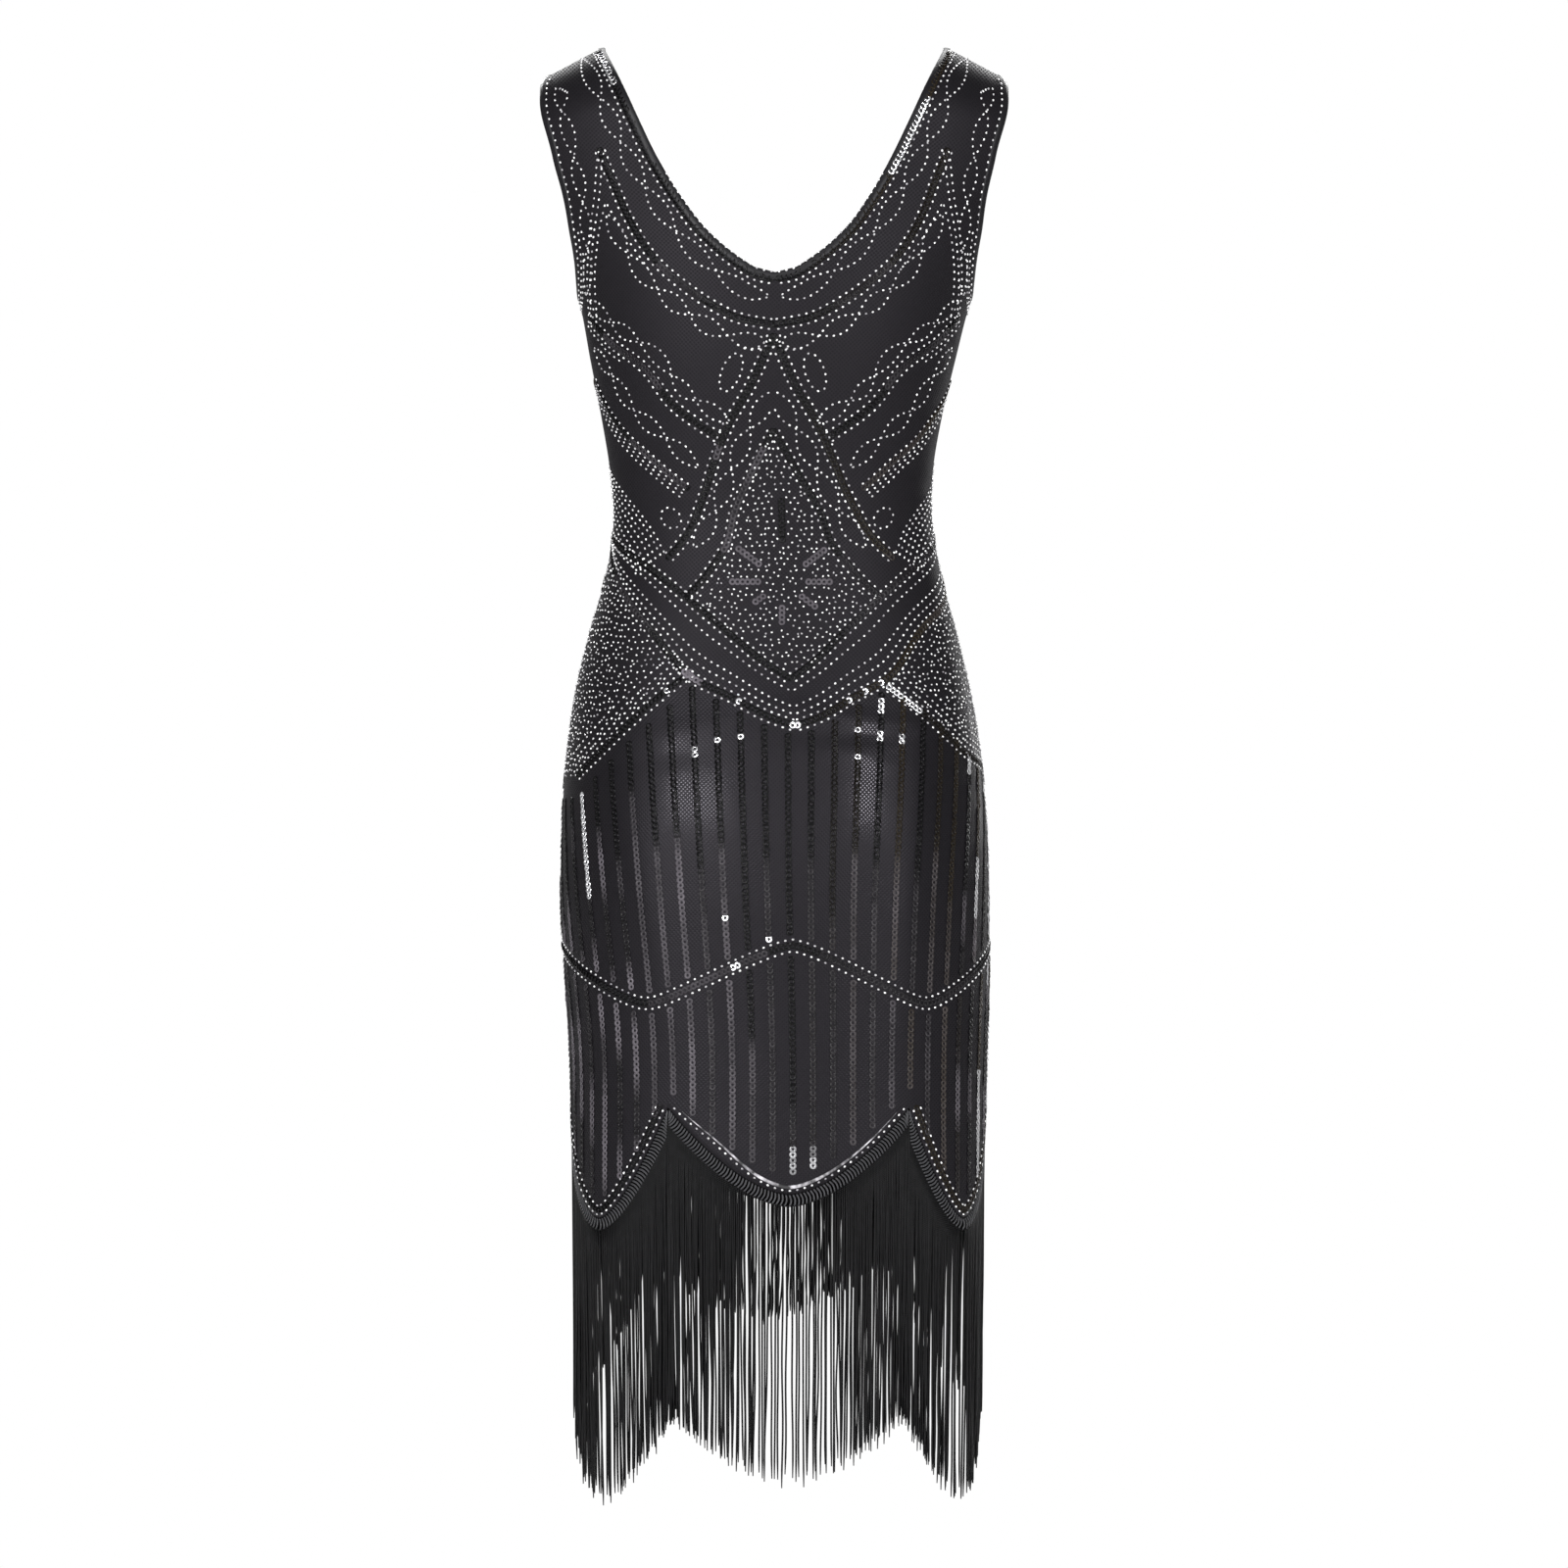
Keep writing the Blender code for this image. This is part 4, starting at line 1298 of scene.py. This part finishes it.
def painted_greys(runs, side, across):
    """How much painted grey reflection each sequin carries and how far its stripe pales, by sines
    along it or by table.
    """
    drop, number, order, striped, stripe = (runs[:, i] for i in (1, 4, 5, 6, 7))
    # painted reflection: runs of grey along each row and stripe, set by sines
    sway = np.sin(0.23 * order + 2.7 * number) + 0.7 * np.sin(0.071 * order + 1.3 * number + 1.0)
    leftward = ramp(-across, 0.015, 0.05) * ramp(drop, 0.55, 0.1)
    high = ramp(-drop, -0.64, 0.06) * striped
    grey = np.clip((sway - 0.35 + 0.9 * leftward - 1.1 * high) / 1.1, 0.0, 1.0)
    # paler from a drop down the stripes
    paling = ramp(drop, 0.60, 0.08) * striped
    if side == "back":
        known = (striped == 1) & (np.abs(stripe - 0.5) < 8)
        black_to, painted_greyness = (np.interp(stripe, STRIPE_TONES["number"], STRIPE_TONES[key])
                              for key in ("black_to", "painted_greyness"))
        passed = ramp(drop, black_to, 0.012)
        uneven = 0.75 + 0.25 * np.sin(0.31 * order + 1.7 * stripe)
        grey = np.where(known, passed * painted_greyness * uneven, grey)
        paling = np.where(known, passed, paling)
        grey = np.where(striped == 0, 0.0, grey)
        for left, right, top, foot, painted_greyness in zip(*ROW_TONES.values()):
            held = within(across, left, right) & within(drop, top, foot) & (striped == 0)
            grey = np.where(held, painted_greyness * uneven, grey)
    # painted reflection: the star's rays are coloured grey, all but the upward one
    ray = number - rays_from(side)
    upward = np.argmin(np.abs(np.array(RAYS)[:, 0] - 90.0))
    grey = np.where((ray >= 0) & (striped == 0), 0.9 * (ray != upward), grey)
    return grey, paling


def glint_shares(runs, side, across):
    """How far each sequin carries a painted silver glint: patches and glints at the back, stripes'
    tops in front, runs by the sides.
    """
    drop, number, order, striped, stripe = (runs[:, i] for i in (1, 4, 5, 6, 7))
    share = np.zeros(len(runs))
    if side == "back":
        for left, right, top, foot in zip(*SHINE_PATCHES.values()):
            share[within(across, left, right) & within(drop, top, foot)] = 1.0
        share[striped == 1] = 0.0
        foot = within(across, *FOOT_GLINTS[:2]) & (drop > FOOT_GLINTS[2]) & (striped == 1)
        share[foot] = rng.uniform(0.03, 0.35, foot.sum())
        share[(stripe == EDGE_GLINT[0]) & within(drop, *EDGE_GLINT[1:])] = 0.9
        for spot_across, spot_drop, count in zip(*GLINTS.values()):
            gap = np.hypot(across - spot_across, drop - spot_drop)
            share[np.argsort(gap)[:int(count)]] = 1.0
    else:
        first = (striped == 1) & (drop < 0.60) & (order < 3)
        share[first & (rng.random(len(runs)) < 0.34)] = 1.0
    # painted glints along the sides, where the lamps graze the stripes
    beyond = np.where(side == "back", across, np.abs(across)) > 0.93 * half_width(drop)
    by_side = beyond & (np.sin(0.11 * order + 2.1 * number) > 0.2)
    share[by_side & (striped == 1)] = 0.4
    return share


def sequin_tones(runs, side):
    """Colour of each: black, with painted grey reflections and browner lengths of run, stripes
    paler lower down, and painted silver glints.
    """
    across = around_to_across(runs[:, 0], runs[:, 1], side)
    grey, paling = painted_greys(runs, side, across)
    grey = grey * rng.uniform(0.7, 1.0, len(runs))
    brown = ramp(across, 0.02, 0.10) * np.clip(np.sin(1.9 * runs[:, 4]) + 0.3, 0.0, 1.0)
    glinted = glint_shares(runs, side, across)[:, None]
    paling = paling * rng.uniform(0.3, 1.0, len(runs))
    tone = FILM_BLACK + paling[:, None] * FILM_PALER
    tone = tone + grey[:, None] * FILM_PAINTED_GREY + (brown * (1 - grey))[:, None] * FILM_BROWN
    return np.concatenate([tone + glinted * (FILM_GLINT_SILVER - tone), glinted], axis=1)


def sequin_plastic():
    """Glossy film that takes each sequin's colour, painted reflections and glints included, the
    painted glints more metallic.
    """
    add, _, _, shade = new_material("sequin_film")
    tone = add("ShaderNodeAttribute", attribute_name="tone")
    grain = add("ShaderNodeTexNoise", {"Vector": add("ShaderNodeTexCoord")["Object"],
                                       "Scale": 700.0})["Fac"]
    gloss = add("ShaderNodeMapRange", {"Value": grain, "To Min": 0.16, "To Max": 0.30})["Result"]
    return shade({"Base Color": tone["Color"], "Metallic": tone["Alpha"], "Roughness": gloss,
                  "Specular IOR Level": 0.12})


film = sequin_plastic()
sequin_pieces = {}
for side_name in SIDES:
    runs = sequin_runs(side_name)
    at, axes = sewn_axes(runs, side_name, SEQUIN_LIFT)
    run_lean = RUN_LEAN * np.sin(0.31 * runs[:, 5] + 3.1 * runs[:, 4])
    lean = OVERLAP_LEAN + run_lean + rng.normal(0.0, LEAN_SPREAD, len(runs))
    roll = rng.normal(0.0, ROLL_SPREAD, len(runs))
    shape, faces = sequin_shape()
    piece = copied("sequins_" + side_name, shape, faces, at, tilted(axes, lean, roll), film)
    colour = sequin_tones(runs, side_name)
    layer = piece.data.color_attributes.new("tone", "FLOAT_COLOR", "POINT")
    layer.data.foreach_set("color", np.repeat(colour, len(shape), axis=0).ravel())
    sequin_pieces[side_name] = piece


# ---- Hem fold
# Along the centre scallop the satin is turned up over the trim's upper edge, a narrow glossy fold
# that stands a little proud and hides the second row of beads there.  Its grey, lighter in patches,
# is painted sheen on the black satin.
FOLD_ABOVE_EDGE = 0.0050
FOLD_RISE = 0.0044           # higher still on the left flank
FOLD_HALF_WIDTH = (0.00060, 0.00135)     # at the cusps and at the scallop's lowest point
FOLD_HALF_HEIGHT = 0.00060
FOLD_SIDES = 8
FOLD_CAP = np.array([[0, 1, 2, 3], [0, 3, 4, 5], [0, 5, 6, 7]])
# painted sheen: the black satin's fold coloured from near black to light grey
FOLD_PAINTED_SHEEN = ((0.020, 0.019, 0.021, 1.0), (0.62, 0.60, 0.64, 1.0))


def fold_satin():
    """Black satin coloured grey as painted sheen, lighter in patches of noise, with fine creases
    across it.
    """
    add, _, blend, shade = new_material("black_satin_fold_painted_sheen")
    place = add("ShaderNodeUVMap", uv_map="cloth")["UV"]
    # painted sheen, lighter in noisy patches
    sheen_patches = add("ShaderNodeTexNoise", {"Vector": place, "Scale": 110.0, "Detail": 3.0})["Fac"]
    painted_sheen = add("ShaderNodeMapRange", {"Value": sheen_patches, "From Min": 0.42, "From Max": 0.68})["Result"]
    crease = add("ShaderNodeTexNoise", {"Vector": place, "Scale": 900.0, "Detail": 2.0})["Fac"]
    bump = add("ShaderNodeBump", {"Height": crease, "Strength": 0.5, "Distance": 0.0002})["Normal"]
    return shade({"Base Color": blend(painted_sheen, *FOLD_PAINTED_SHEEN), "Normal": bump, "Roughness": 0.30,
                  "Specular IOR Level": 0.6})


def fold_rings(side):
    """Ovals round the fold's path, half width across the cloth, half height out, and their UV."""
    line = hem_lobes(side)[1]
    path = beside(line, FOLD_ABOVE_EDGE + FOLD_RISE * left_flank(line), 1)[6:-6]
    point, outward = cloth_frame(path[:, 0], path[:, 1], side)[:2]
    along = unit(np.gradient(point, axis=0))
    across = np.cross(outward, along)
    thin = np.sin(np.pi * np.linspace(0.01, 0.99, len(path)))[:, None, None]
    width = FOLD_HALF_WIDTH[0] + (FOLD_HALF_WIDTH[1] - FOLD_HALF_WIDTH[0]) * thin ** 2
    turn = np.arange(FOLD_SIDES) / FOLD_SIDES * 2 * np.pi
    ring = width * np.cos(turn)[:, None] * across[:, None]
    ring = ring + FOLD_HALF_HEIGHT * np.sin(turn)[:, None] * outward[:, None]
    points = point[:, None] + thin ** 0.3 * ring
    uv = np.stack(np.broadcast_arrays(running_length(point)[:, None], turn * 0.0008), axis=-1)
    return points, uv


painted_sheen_fold_satin = fold_satin()
fold_pieces = {}
for side_name in SIDES:
    rings, uv = fold_rings(side_name)
    last = (len(rings) - 1) * FOLD_SIDES
    faces = np.concatenate([ring_quads(len(rings), FOLD_SIDES), FOLD_CAP[:, ::-1], last + FOLD_CAP])
    fold = new_piece("hem_fold_" + side_name, painted_sheen_fold_satin, rings.reshape(-1, 3), faces,
                     uv.reshape(-1, 2))
    turn_outwards(fold)
    fold_pieces[side_name] = fold


# ---- Fringe
# Limp rayon chainette cords on a narrow header of crocheted loops, which is sewn to a flat tape
# under the scalloped hem.  Each cord hangs by itself, leaning and bowing a little, and the tips end
# unevenly.
STRAND_PITCHES = (0.00138, 0.0025)       # along the hem: usual, and at the scallop's lowest point
LOBES_OPENED = (0.15, 1.0, 0.30)         # how far each scallop goes to the wider pitch
STRAND_RADIUS = 0.00072
STRAND_POINTS = 17
TUBE_SIDES = 6
TUBE_CAP = np.array([[0, 1, 2, 3], [0, 3, 4, 5]])
CHAIN_LINK = 0.0016          # one stitch of the knitted chain
CHAIN_SLANT = 0.0022
HEADER_TOP = 0.0006          # below the cloth's edge
HEADER_HEIGHT = 0.0084
TAPE_BEHIND = 0.0017         # the header's backing tape, behind the cloth's outer face
TAPE_WALL = 0.0006
TAPE_OVERLAP = 0.0012        # up behind the cloth's edge
ROOT_OVERLAP = 0.0006        # of the cords onto the header's foot
HEADER_LIFT = (-0.0008, -0.0007, 0.0004)     # of its cords, its loops, and the loops' bow
LOOP_PITCH = 0.0026
LOOP_POINTS = 8
LOOP_BOW = 0.0010
LOOP_RADIUS = 0.00072
HEADER_CORD_RADIUS = 0.00070
TIP_DROP_AT_CUSP = 1.028
TIP_SCALLOP_SHARE = 0.75
TIP_RAGGED = 0.007
TIP_TAPER = 0.55
STRAND_LEAN = 0.0012         # these five spread the cords: sideways, and off the cloth
STRAND_BOW = 0.0004
STRAND_RIPPLE = 0.0003
STRAND_OUT = 0.0013
STRAND_SWELL = 0.0007
SEAM_CLEAR = 0.0003          # of the side seam
CENTRE_TIP_RISE = {"back": 0.0, "front": 0.116}  # the front's tips rise towards its centre line
fringe_rng = np.random.default_rng(21)


def tubes(paths, outward, radius):
    """Six-sided tubes along many paths at once: path + radius (cos t aside + sin t out), capped."""
    along = unit(np.gradient(paths, axis=1))
    aside = unit(np.cross(along, outward))
    out = np.cross(aside, along)
    turn = np.arange(TUBE_SIDES) / TUBE_SIDES * 2 * np.pi
    spokes = np.cos(turn)[:, None] * aside[:, :, None] + np.sin(turn)[:, None] * out[:, :, None]
    points = paths[:, :, None] + np.broadcast_to(radius, paths.shape[:2])[:, :, None, None] * spokes
    count, length = paths.shape[:2]
    first = (np.arange(count) * length * TUBE_SIDES)[:, None, None]
    last = first + (length - 1) * TUBE_SIDES
    faces = [first + ring_quads(length, TUBE_SIDES), last + TUBE_CAP, first + TUBE_CAP[:, ::-1]]
    return points.reshape(-1, 3), np.concatenate([part.reshape(-1, 4) for part in faces])


def tube_uv(paths):
    """Places on the tubes: round each in sixths, and down it in metres."""
    steps = np.linalg.norm(np.diff(paths, axis=1), axis=2)
    length = np.concatenate([np.zeros((len(paths), 1)), np.cumsum(steps, axis=1)], axis=1)
    sixths = np.arange(TUBE_SIDES) / TUBE_SIDES
    return np.stack(np.broadcast_arrays(sixths, length[..., None]), axis=-1).reshape(-1, 2)


def under_hem(line, reach):
    """A scallop's edge moved squarely below the cloth, held between the scallop's own cusps."""
    moved = beside(line, -reach, 1)
    moved[:, 0] = np.clip(moved[:, 0], line[0, 0], line[-1, 0])
    return moved


def hung(around, drop, lift, side):
    """Points on the cloth's surface carried on downwards, this far out of it, and the way out."""
    point, outward = cloth_frame(around, drop, side)[:2]
    return point + np.broadcast_to(lift, around.shape)[..., None] * outward, outward


def strand_roots(side):
    """Places of the cords' upper ends along the header's foot, sparser low on a scallop."""
    roots = []
    for line, opened in zip(hem_lobes(side), LOBES_OPENED):
        s = running_length(line)
        low_part = np.exp(-((s / s[-1] - 0.5) / 0.16) ** 2)
        pitch = STRAND_PITCHES[0] + opened * (STRAND_PITCHES[1] - STRAND_PITCHES[0]) * low_part
        number = np.concatenate([[0.0], np.cumsum(np.diff(s) / pitch[1:])])
        at = np.interp(np.arange(0.5, number[-1]), number, s)
        foot = under_hem(line, HEADER_TOP + HEADER_HEIGHT - ROOT_OVERLAP)
        roots.append(np.stack([np.interp(at, s, c) for c in foot.T], axis=1))
    return np.concatenate(roots)


def hanging_strands(side):
    """Paths of the cords: straight down from the header, plus a lean and two sine bows each."""
    roots = strand_roots(side)
    count = len(roots)
    top = roots[:, 1:2]
    share = roots[:, 0:1] / half_girth(top, side)
    order = np.arange(count)[:, None]
    t = np.linspace(0.0, 1.0, STRAND_POINTS)[None]
    ragged = TIP_RAGGED * (0.6 * np.sin(2.4 * order) + 0.4 * np.sin(5.1 * order + 1.0))
    rise = CENTRE_TIP_RISE[side] * (1.0 - share ** 4)
    tip = TIP_DROP_AT_CUSP + TIP_SCALLOP_SHARE * (hem_drop(share) - CUSP_DROP) - rise + ragged
    drop = top + (tip - top) * t
    lean, bow, ripple, phase, off, swell = fringe_rng.normal(0.0, 1.0, (6, count, 1))
    sideways = STRAND_LEAN * lean * t ** 1.8 + STRAND_BOW * bow * np.sin(np.pi * t)
    sideways = sideways + STRAND_RIPPLE * ripple * np.sin(14 * t + 3 * phase) * np.sqrt(t)
    seam = half_girth(drop, side) - SEAM_CLEAR
    around = np.clip(share * seam + sideways, -seam, seam)
    lift = HEADER_LIFT[0] + STRAND_OUT * off * t
    lift = lift + STRAND_SWELL * swell * np.sin(2 * np.pi * t + phase) * t
    return hung(around, drop, lift, side)


def header_loops(side):
    """Short thick loops squarely below each scallop's edge, bowed sideways and a little out."""
    paths = []
    bend = np.sin(np.pi * np.linspace(0.0, 1.0, LOOP_POINTS))
    reach = np.linspace(0.0, 1.0, LOOP_POINTS)[None, :, None]
    for line in hem_lobes(side):
        s = running_length(line)
        count = int(s[-1] / LOOP_PITCH)
        at = ((np.arange(count) + 0.5) / count * s[-1])[:, None] + LOOP_BOW * bend
        at = np.clip(at, 0.0, s[-1])
        edges = under_hem(line, HEADER_TOP), under_hem(line, HEADER_TOP + HEADER_HEIGHT)
        top, foot = (np.stack([np.interp(at, s, c) for c in edge.T], axis=2) for edge in edges)
        place = top + reach * (foot - top)
        lift = HEADER_LIFT[1] + HEADER_LIFT[2] * bend
        paths.append(hung(place[..., 0], place[..., 1], lift, side))
    return paths


def header_cords(side):
    """Two straight cords along each scallop that carry the loops, at the header's top and foot."""
    paths = []
    for line in hem_lobes(side):
        for below in (HEADER_TOP, HEADER_TOP + HEADER_HEIGHT):
            cord = under_hem(line, below)
            points, outward = hung(cord[:, 0], cord[:, 1], HEADER_LIFT[0], side)
            paths.append((points[None], outward[None]))
    return paths


def cord_piece(name, batches, radius, material):
    """One mesh of the tubes along several batches of paths, given with their outward ways."""
    parts = [(*tubes(paths, outward, radius), tube_uv(paths)) for paths, outward in batches]
    return new_piece(name, material, *gathered(parts))


def header_tape(side):
    """A closed flat tape behind the loops, from the header's top to just above its foot."""
    parts = []
    cap = np.arange(4)[None]
    for line in hem_lobes(side):
        top = under_hem(line, HEADER_TOP - TAPE_OVERLAP)
        foot = under_hem(line, HEADER_TOP + HEADER_HEIGHT)
        corners = ((top, 0.0), (foot, 0.0), (foot, TAPE_WALL), (top, TAPE_WALL))
        ring = np.stack([hung(edge[:, 0], edge[:, 1], -TAPE_BEHIND - wall, side)[0]
                         for edge, wall in corners], axis=1)
        last = (len(ring) - 1) * 4
        faces = np.concatenate([ring_quads(len(ring), 4), cap[:, ::-1], last + cap])
        uv = np.stack(np.broadcast_arrays(cap * 0.004, running_length(line)[:, None]), axis=-1)
        parts.append((ring.reshape(-1, 3), faces, uv.reshape(-1, 2)))
    return gathered(parts)


def chainette(name, dark, light, shine):
    """Black rayon with the chevrons of a knitted chain down each cord, duller or shinier."""
    add, work, blend, shade = new_material(name)
    axes = add("ShaderNodeSeparateXYZ", {"Vector": add("ShaderNodeUVMap", uv_map="cloth")["UV"]})
    slant = work("MULTIPLY", work("PINGPONG", axes["X"], 0.5), CHAIN_SLANT)
    link = work("MULTIPLY", work("ADD", axes["Y"], slant), 2 * np.pi / CHAIN_LINK)
    lot = add("ShaderNodeTexNoise", {"Vector": add("ShaderNodeTexCoord")["Object"],
                                     "Scale": 160.0, "Detail": 1.0})["Fac"]
    bump = add("ShaderNodeBump", {"Height": work("SINE", link), "Strength": 0.6,
                                  "Distance": 0.00018})["Normal"]
    colour = blend(lot, (dark, dark, 1.1 * dark, 1.0), (light, light, 1.1 * light, 1.0))
    return shade({"Base Color": colour, "Normal": bump, "Roughness": 0.40,
                  "Specular IOR Level": shine})


rayon = chainette("black_rayon_chainette", 0.002, 0.007, 0.12)
loop_rayon = chainette("black_rayon_loops", 0.020, 0.050, 0.40)
tape_rayon = chainette("black_rayon_tape", 0.001, 0.002, 0.04)
fringe_pieces = {}
for side_name in SIDES:
    paths, outward = hanging_strands(side_name)
    taper = np.ones(STRAND_POINTS) * STRAND_RADIUS
    taper[-1] *= TIP_TAPER
    strands = new_piece("fringe_strands_" + side_name, rayon, *tubes(paths, outward, taper),
                        tube_uv(paths))
    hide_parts("fringe_" + side_name)
    header = cord_piece("fringe_header_" + side_name, header_loops(side_name), LOOP_RADIUS,
                        loop_rayon)
    cords = cord_piece("fringe_cords_" + side_name, header_cords(side_name), HEADER_CORD_RADIUS,
                       tape_rayon)
    tape = new_piece("fringe_tape_" + side_name, tape_rayon, *header_tape(side_name))
    turn_outwards(tape)
    fringe_pieces[side_name] = [strands, header, cords, tape]


# ---- The pieces of cloth
# Each panel is cut from 0.46 by 0.885 m of mesh and as much satin, and hangs from the shoulders.
# What it carries, its beads, sequins, hem fold and fringe, the back panel the bindings too, is
# gathered in a list here that nothing uses.
for side_name, panel in panels.items():
    carried = [bead_pieces[side_name], sequin_pieces[side_name], fold_pieces[side_name],
               *fringe_pieces[side_name]]
    if side_name == "back":
        carried += bindings


# ---- Room
# A pale studio: a floor well below the dress, white surroundings, two soft lamps behind that give
# the seat its sheens, and others from above and on the far side that light the front.
FLOOR_Z = -1.40
FLOOR_RADIUS = 3.4
FLOOR_GREYS = ((0.80, 0.80, 0.80, 1.0), (0.86, 0.86, 0.86, 1.0))
VIEW_CENTRE = (0.0074, -0.555)           # across and up
VIEW_WIDTH = 1.184
VIEW_DISTANCE = 12.0
LIGHTS = [                               # name, place, size, watts; each faces the dress's middle
    ("key_left", (-1.67, -3.14, 0.24), (1.60, 0.60), 128.0),
    ("key_right", (1.93, -2.98, 0.24), (0.60, 0.60), 80.0),
    ("fill_back", (0.0, -3.6, 3.2), (2.4, 1.6), 6.0),
    ("far_left", (-1.4, 3.1, 1.30), (1.0, 0.6), 55.0),
    ("far_right", (1.4, 3.1, 1.30), (1.0, 0.6), 55.0),
    ("fill_front", (0.0, 3.6, 3.2), (2.4, 1.6), 130.0),
    ("side_right", (2.05, 2.9, -0.05), (0.5, 0.9), 8.0),
]
LIT_PLACE = (0.0, 0.0, -0.5)


def pale_floor():
    """A flat disc of even pale grey."""
    add, _, blend, shade = new_material("pale_floor")
    grain = add("ShaderNodeTexNoise", {"Vector": add("ShaderNodeTexCoord")["Object"],
                                       "Scale": 3.0})["Fac"]
    material = shade({"Base Color": blend(grain, *FLOOR_GREYS), "Roughness": 0.8})
    turn = np.arange(96) / 96 * 2 * np.pi
    rim = np.stack([FLOOR_RADIUS * np.cos(turn), FLOOR_RADIUS * np.sin(turn),
                    np.full(96, FLOOR_Z)], axis=1)
    mesh = bpy.data.meshes.new("floor")
    mesh.from_pydata(rim.tolist(), [], [list(range(96))])
    mesh.materials.append(material)
    floor = bpy.data.objects.new("floor", mesh)
    bpy.context.scene.collection.objects.link(floor)


def soft_light(name, place, size, watts):
    """A rectangular lamp that faces the dress."""
    lamp = bpy.data.lights.new(name, "AREA")
    lamp.shape = "RECTANGLE"
    lamp.size, lamp.size_y = size
    lamp.energy = watts
    holder = bpy.data.objects.new(name, lamp)
    way = Vector(LIT_PLACE) - Vector(place)
    holder.location = place
    holder.rotation_euler = way.to_track_quat("-Z", "Y").to_euler()
    bpy.context.scene.collection.objects.link(holder)


def white_surroundings():
    """A white world that shows as plain white and lights the dress more gently."""
    world = bpy.data.worlds.new("studio")
    bpy.context.scene.world = world
    world.use_nodes = True
    tree = world.node_tree
    background = tree.nodes["Background"]
    background.inputs["Color"].default_value = (1.0, 1.0, 1.0, 1.0)
    seen = tree.nodes.new("ShaderNodeLightPath")
    strength = tree.nodes.new("ShaderNodeMapRange")
    strength.inputs["To Min"].default_value = 0.25
    strength.inputs["To Max"].default_value = 1.0
    tree.links.new(seen.outputs["Is Camera Ray"], strength.inputs["Value"])
    tree.links.new(strength.outputs["Result"], background.inputs["Strength"])


pale_floor()
for light in LIGHTS:
    soft_light(*light)
white_surroundings()
bpy.context.scene.view_settings.view_transform = "Standard"
lens = bpy.data.cameras.new("camera")
lens.sensor_width = 36.0
lens.lens = lens.sensor_width * VIEW_DISTANCE / VIEW_WIDTH
lens.clip_start, lens.clip_end = 0.1, 100.0
camera = bpy.data.objects.new("camera", lens)
camera.location = (VIEW_CENTRE[0], -VIEW_DISTANCE, VIEW_CENTRE[1])
camera.rotation_euler = (np.pi / 2, 0.0, 0.0)
bpy.context.scene.collection.objects.link(camera)
bpy.context.scene.camera = camera
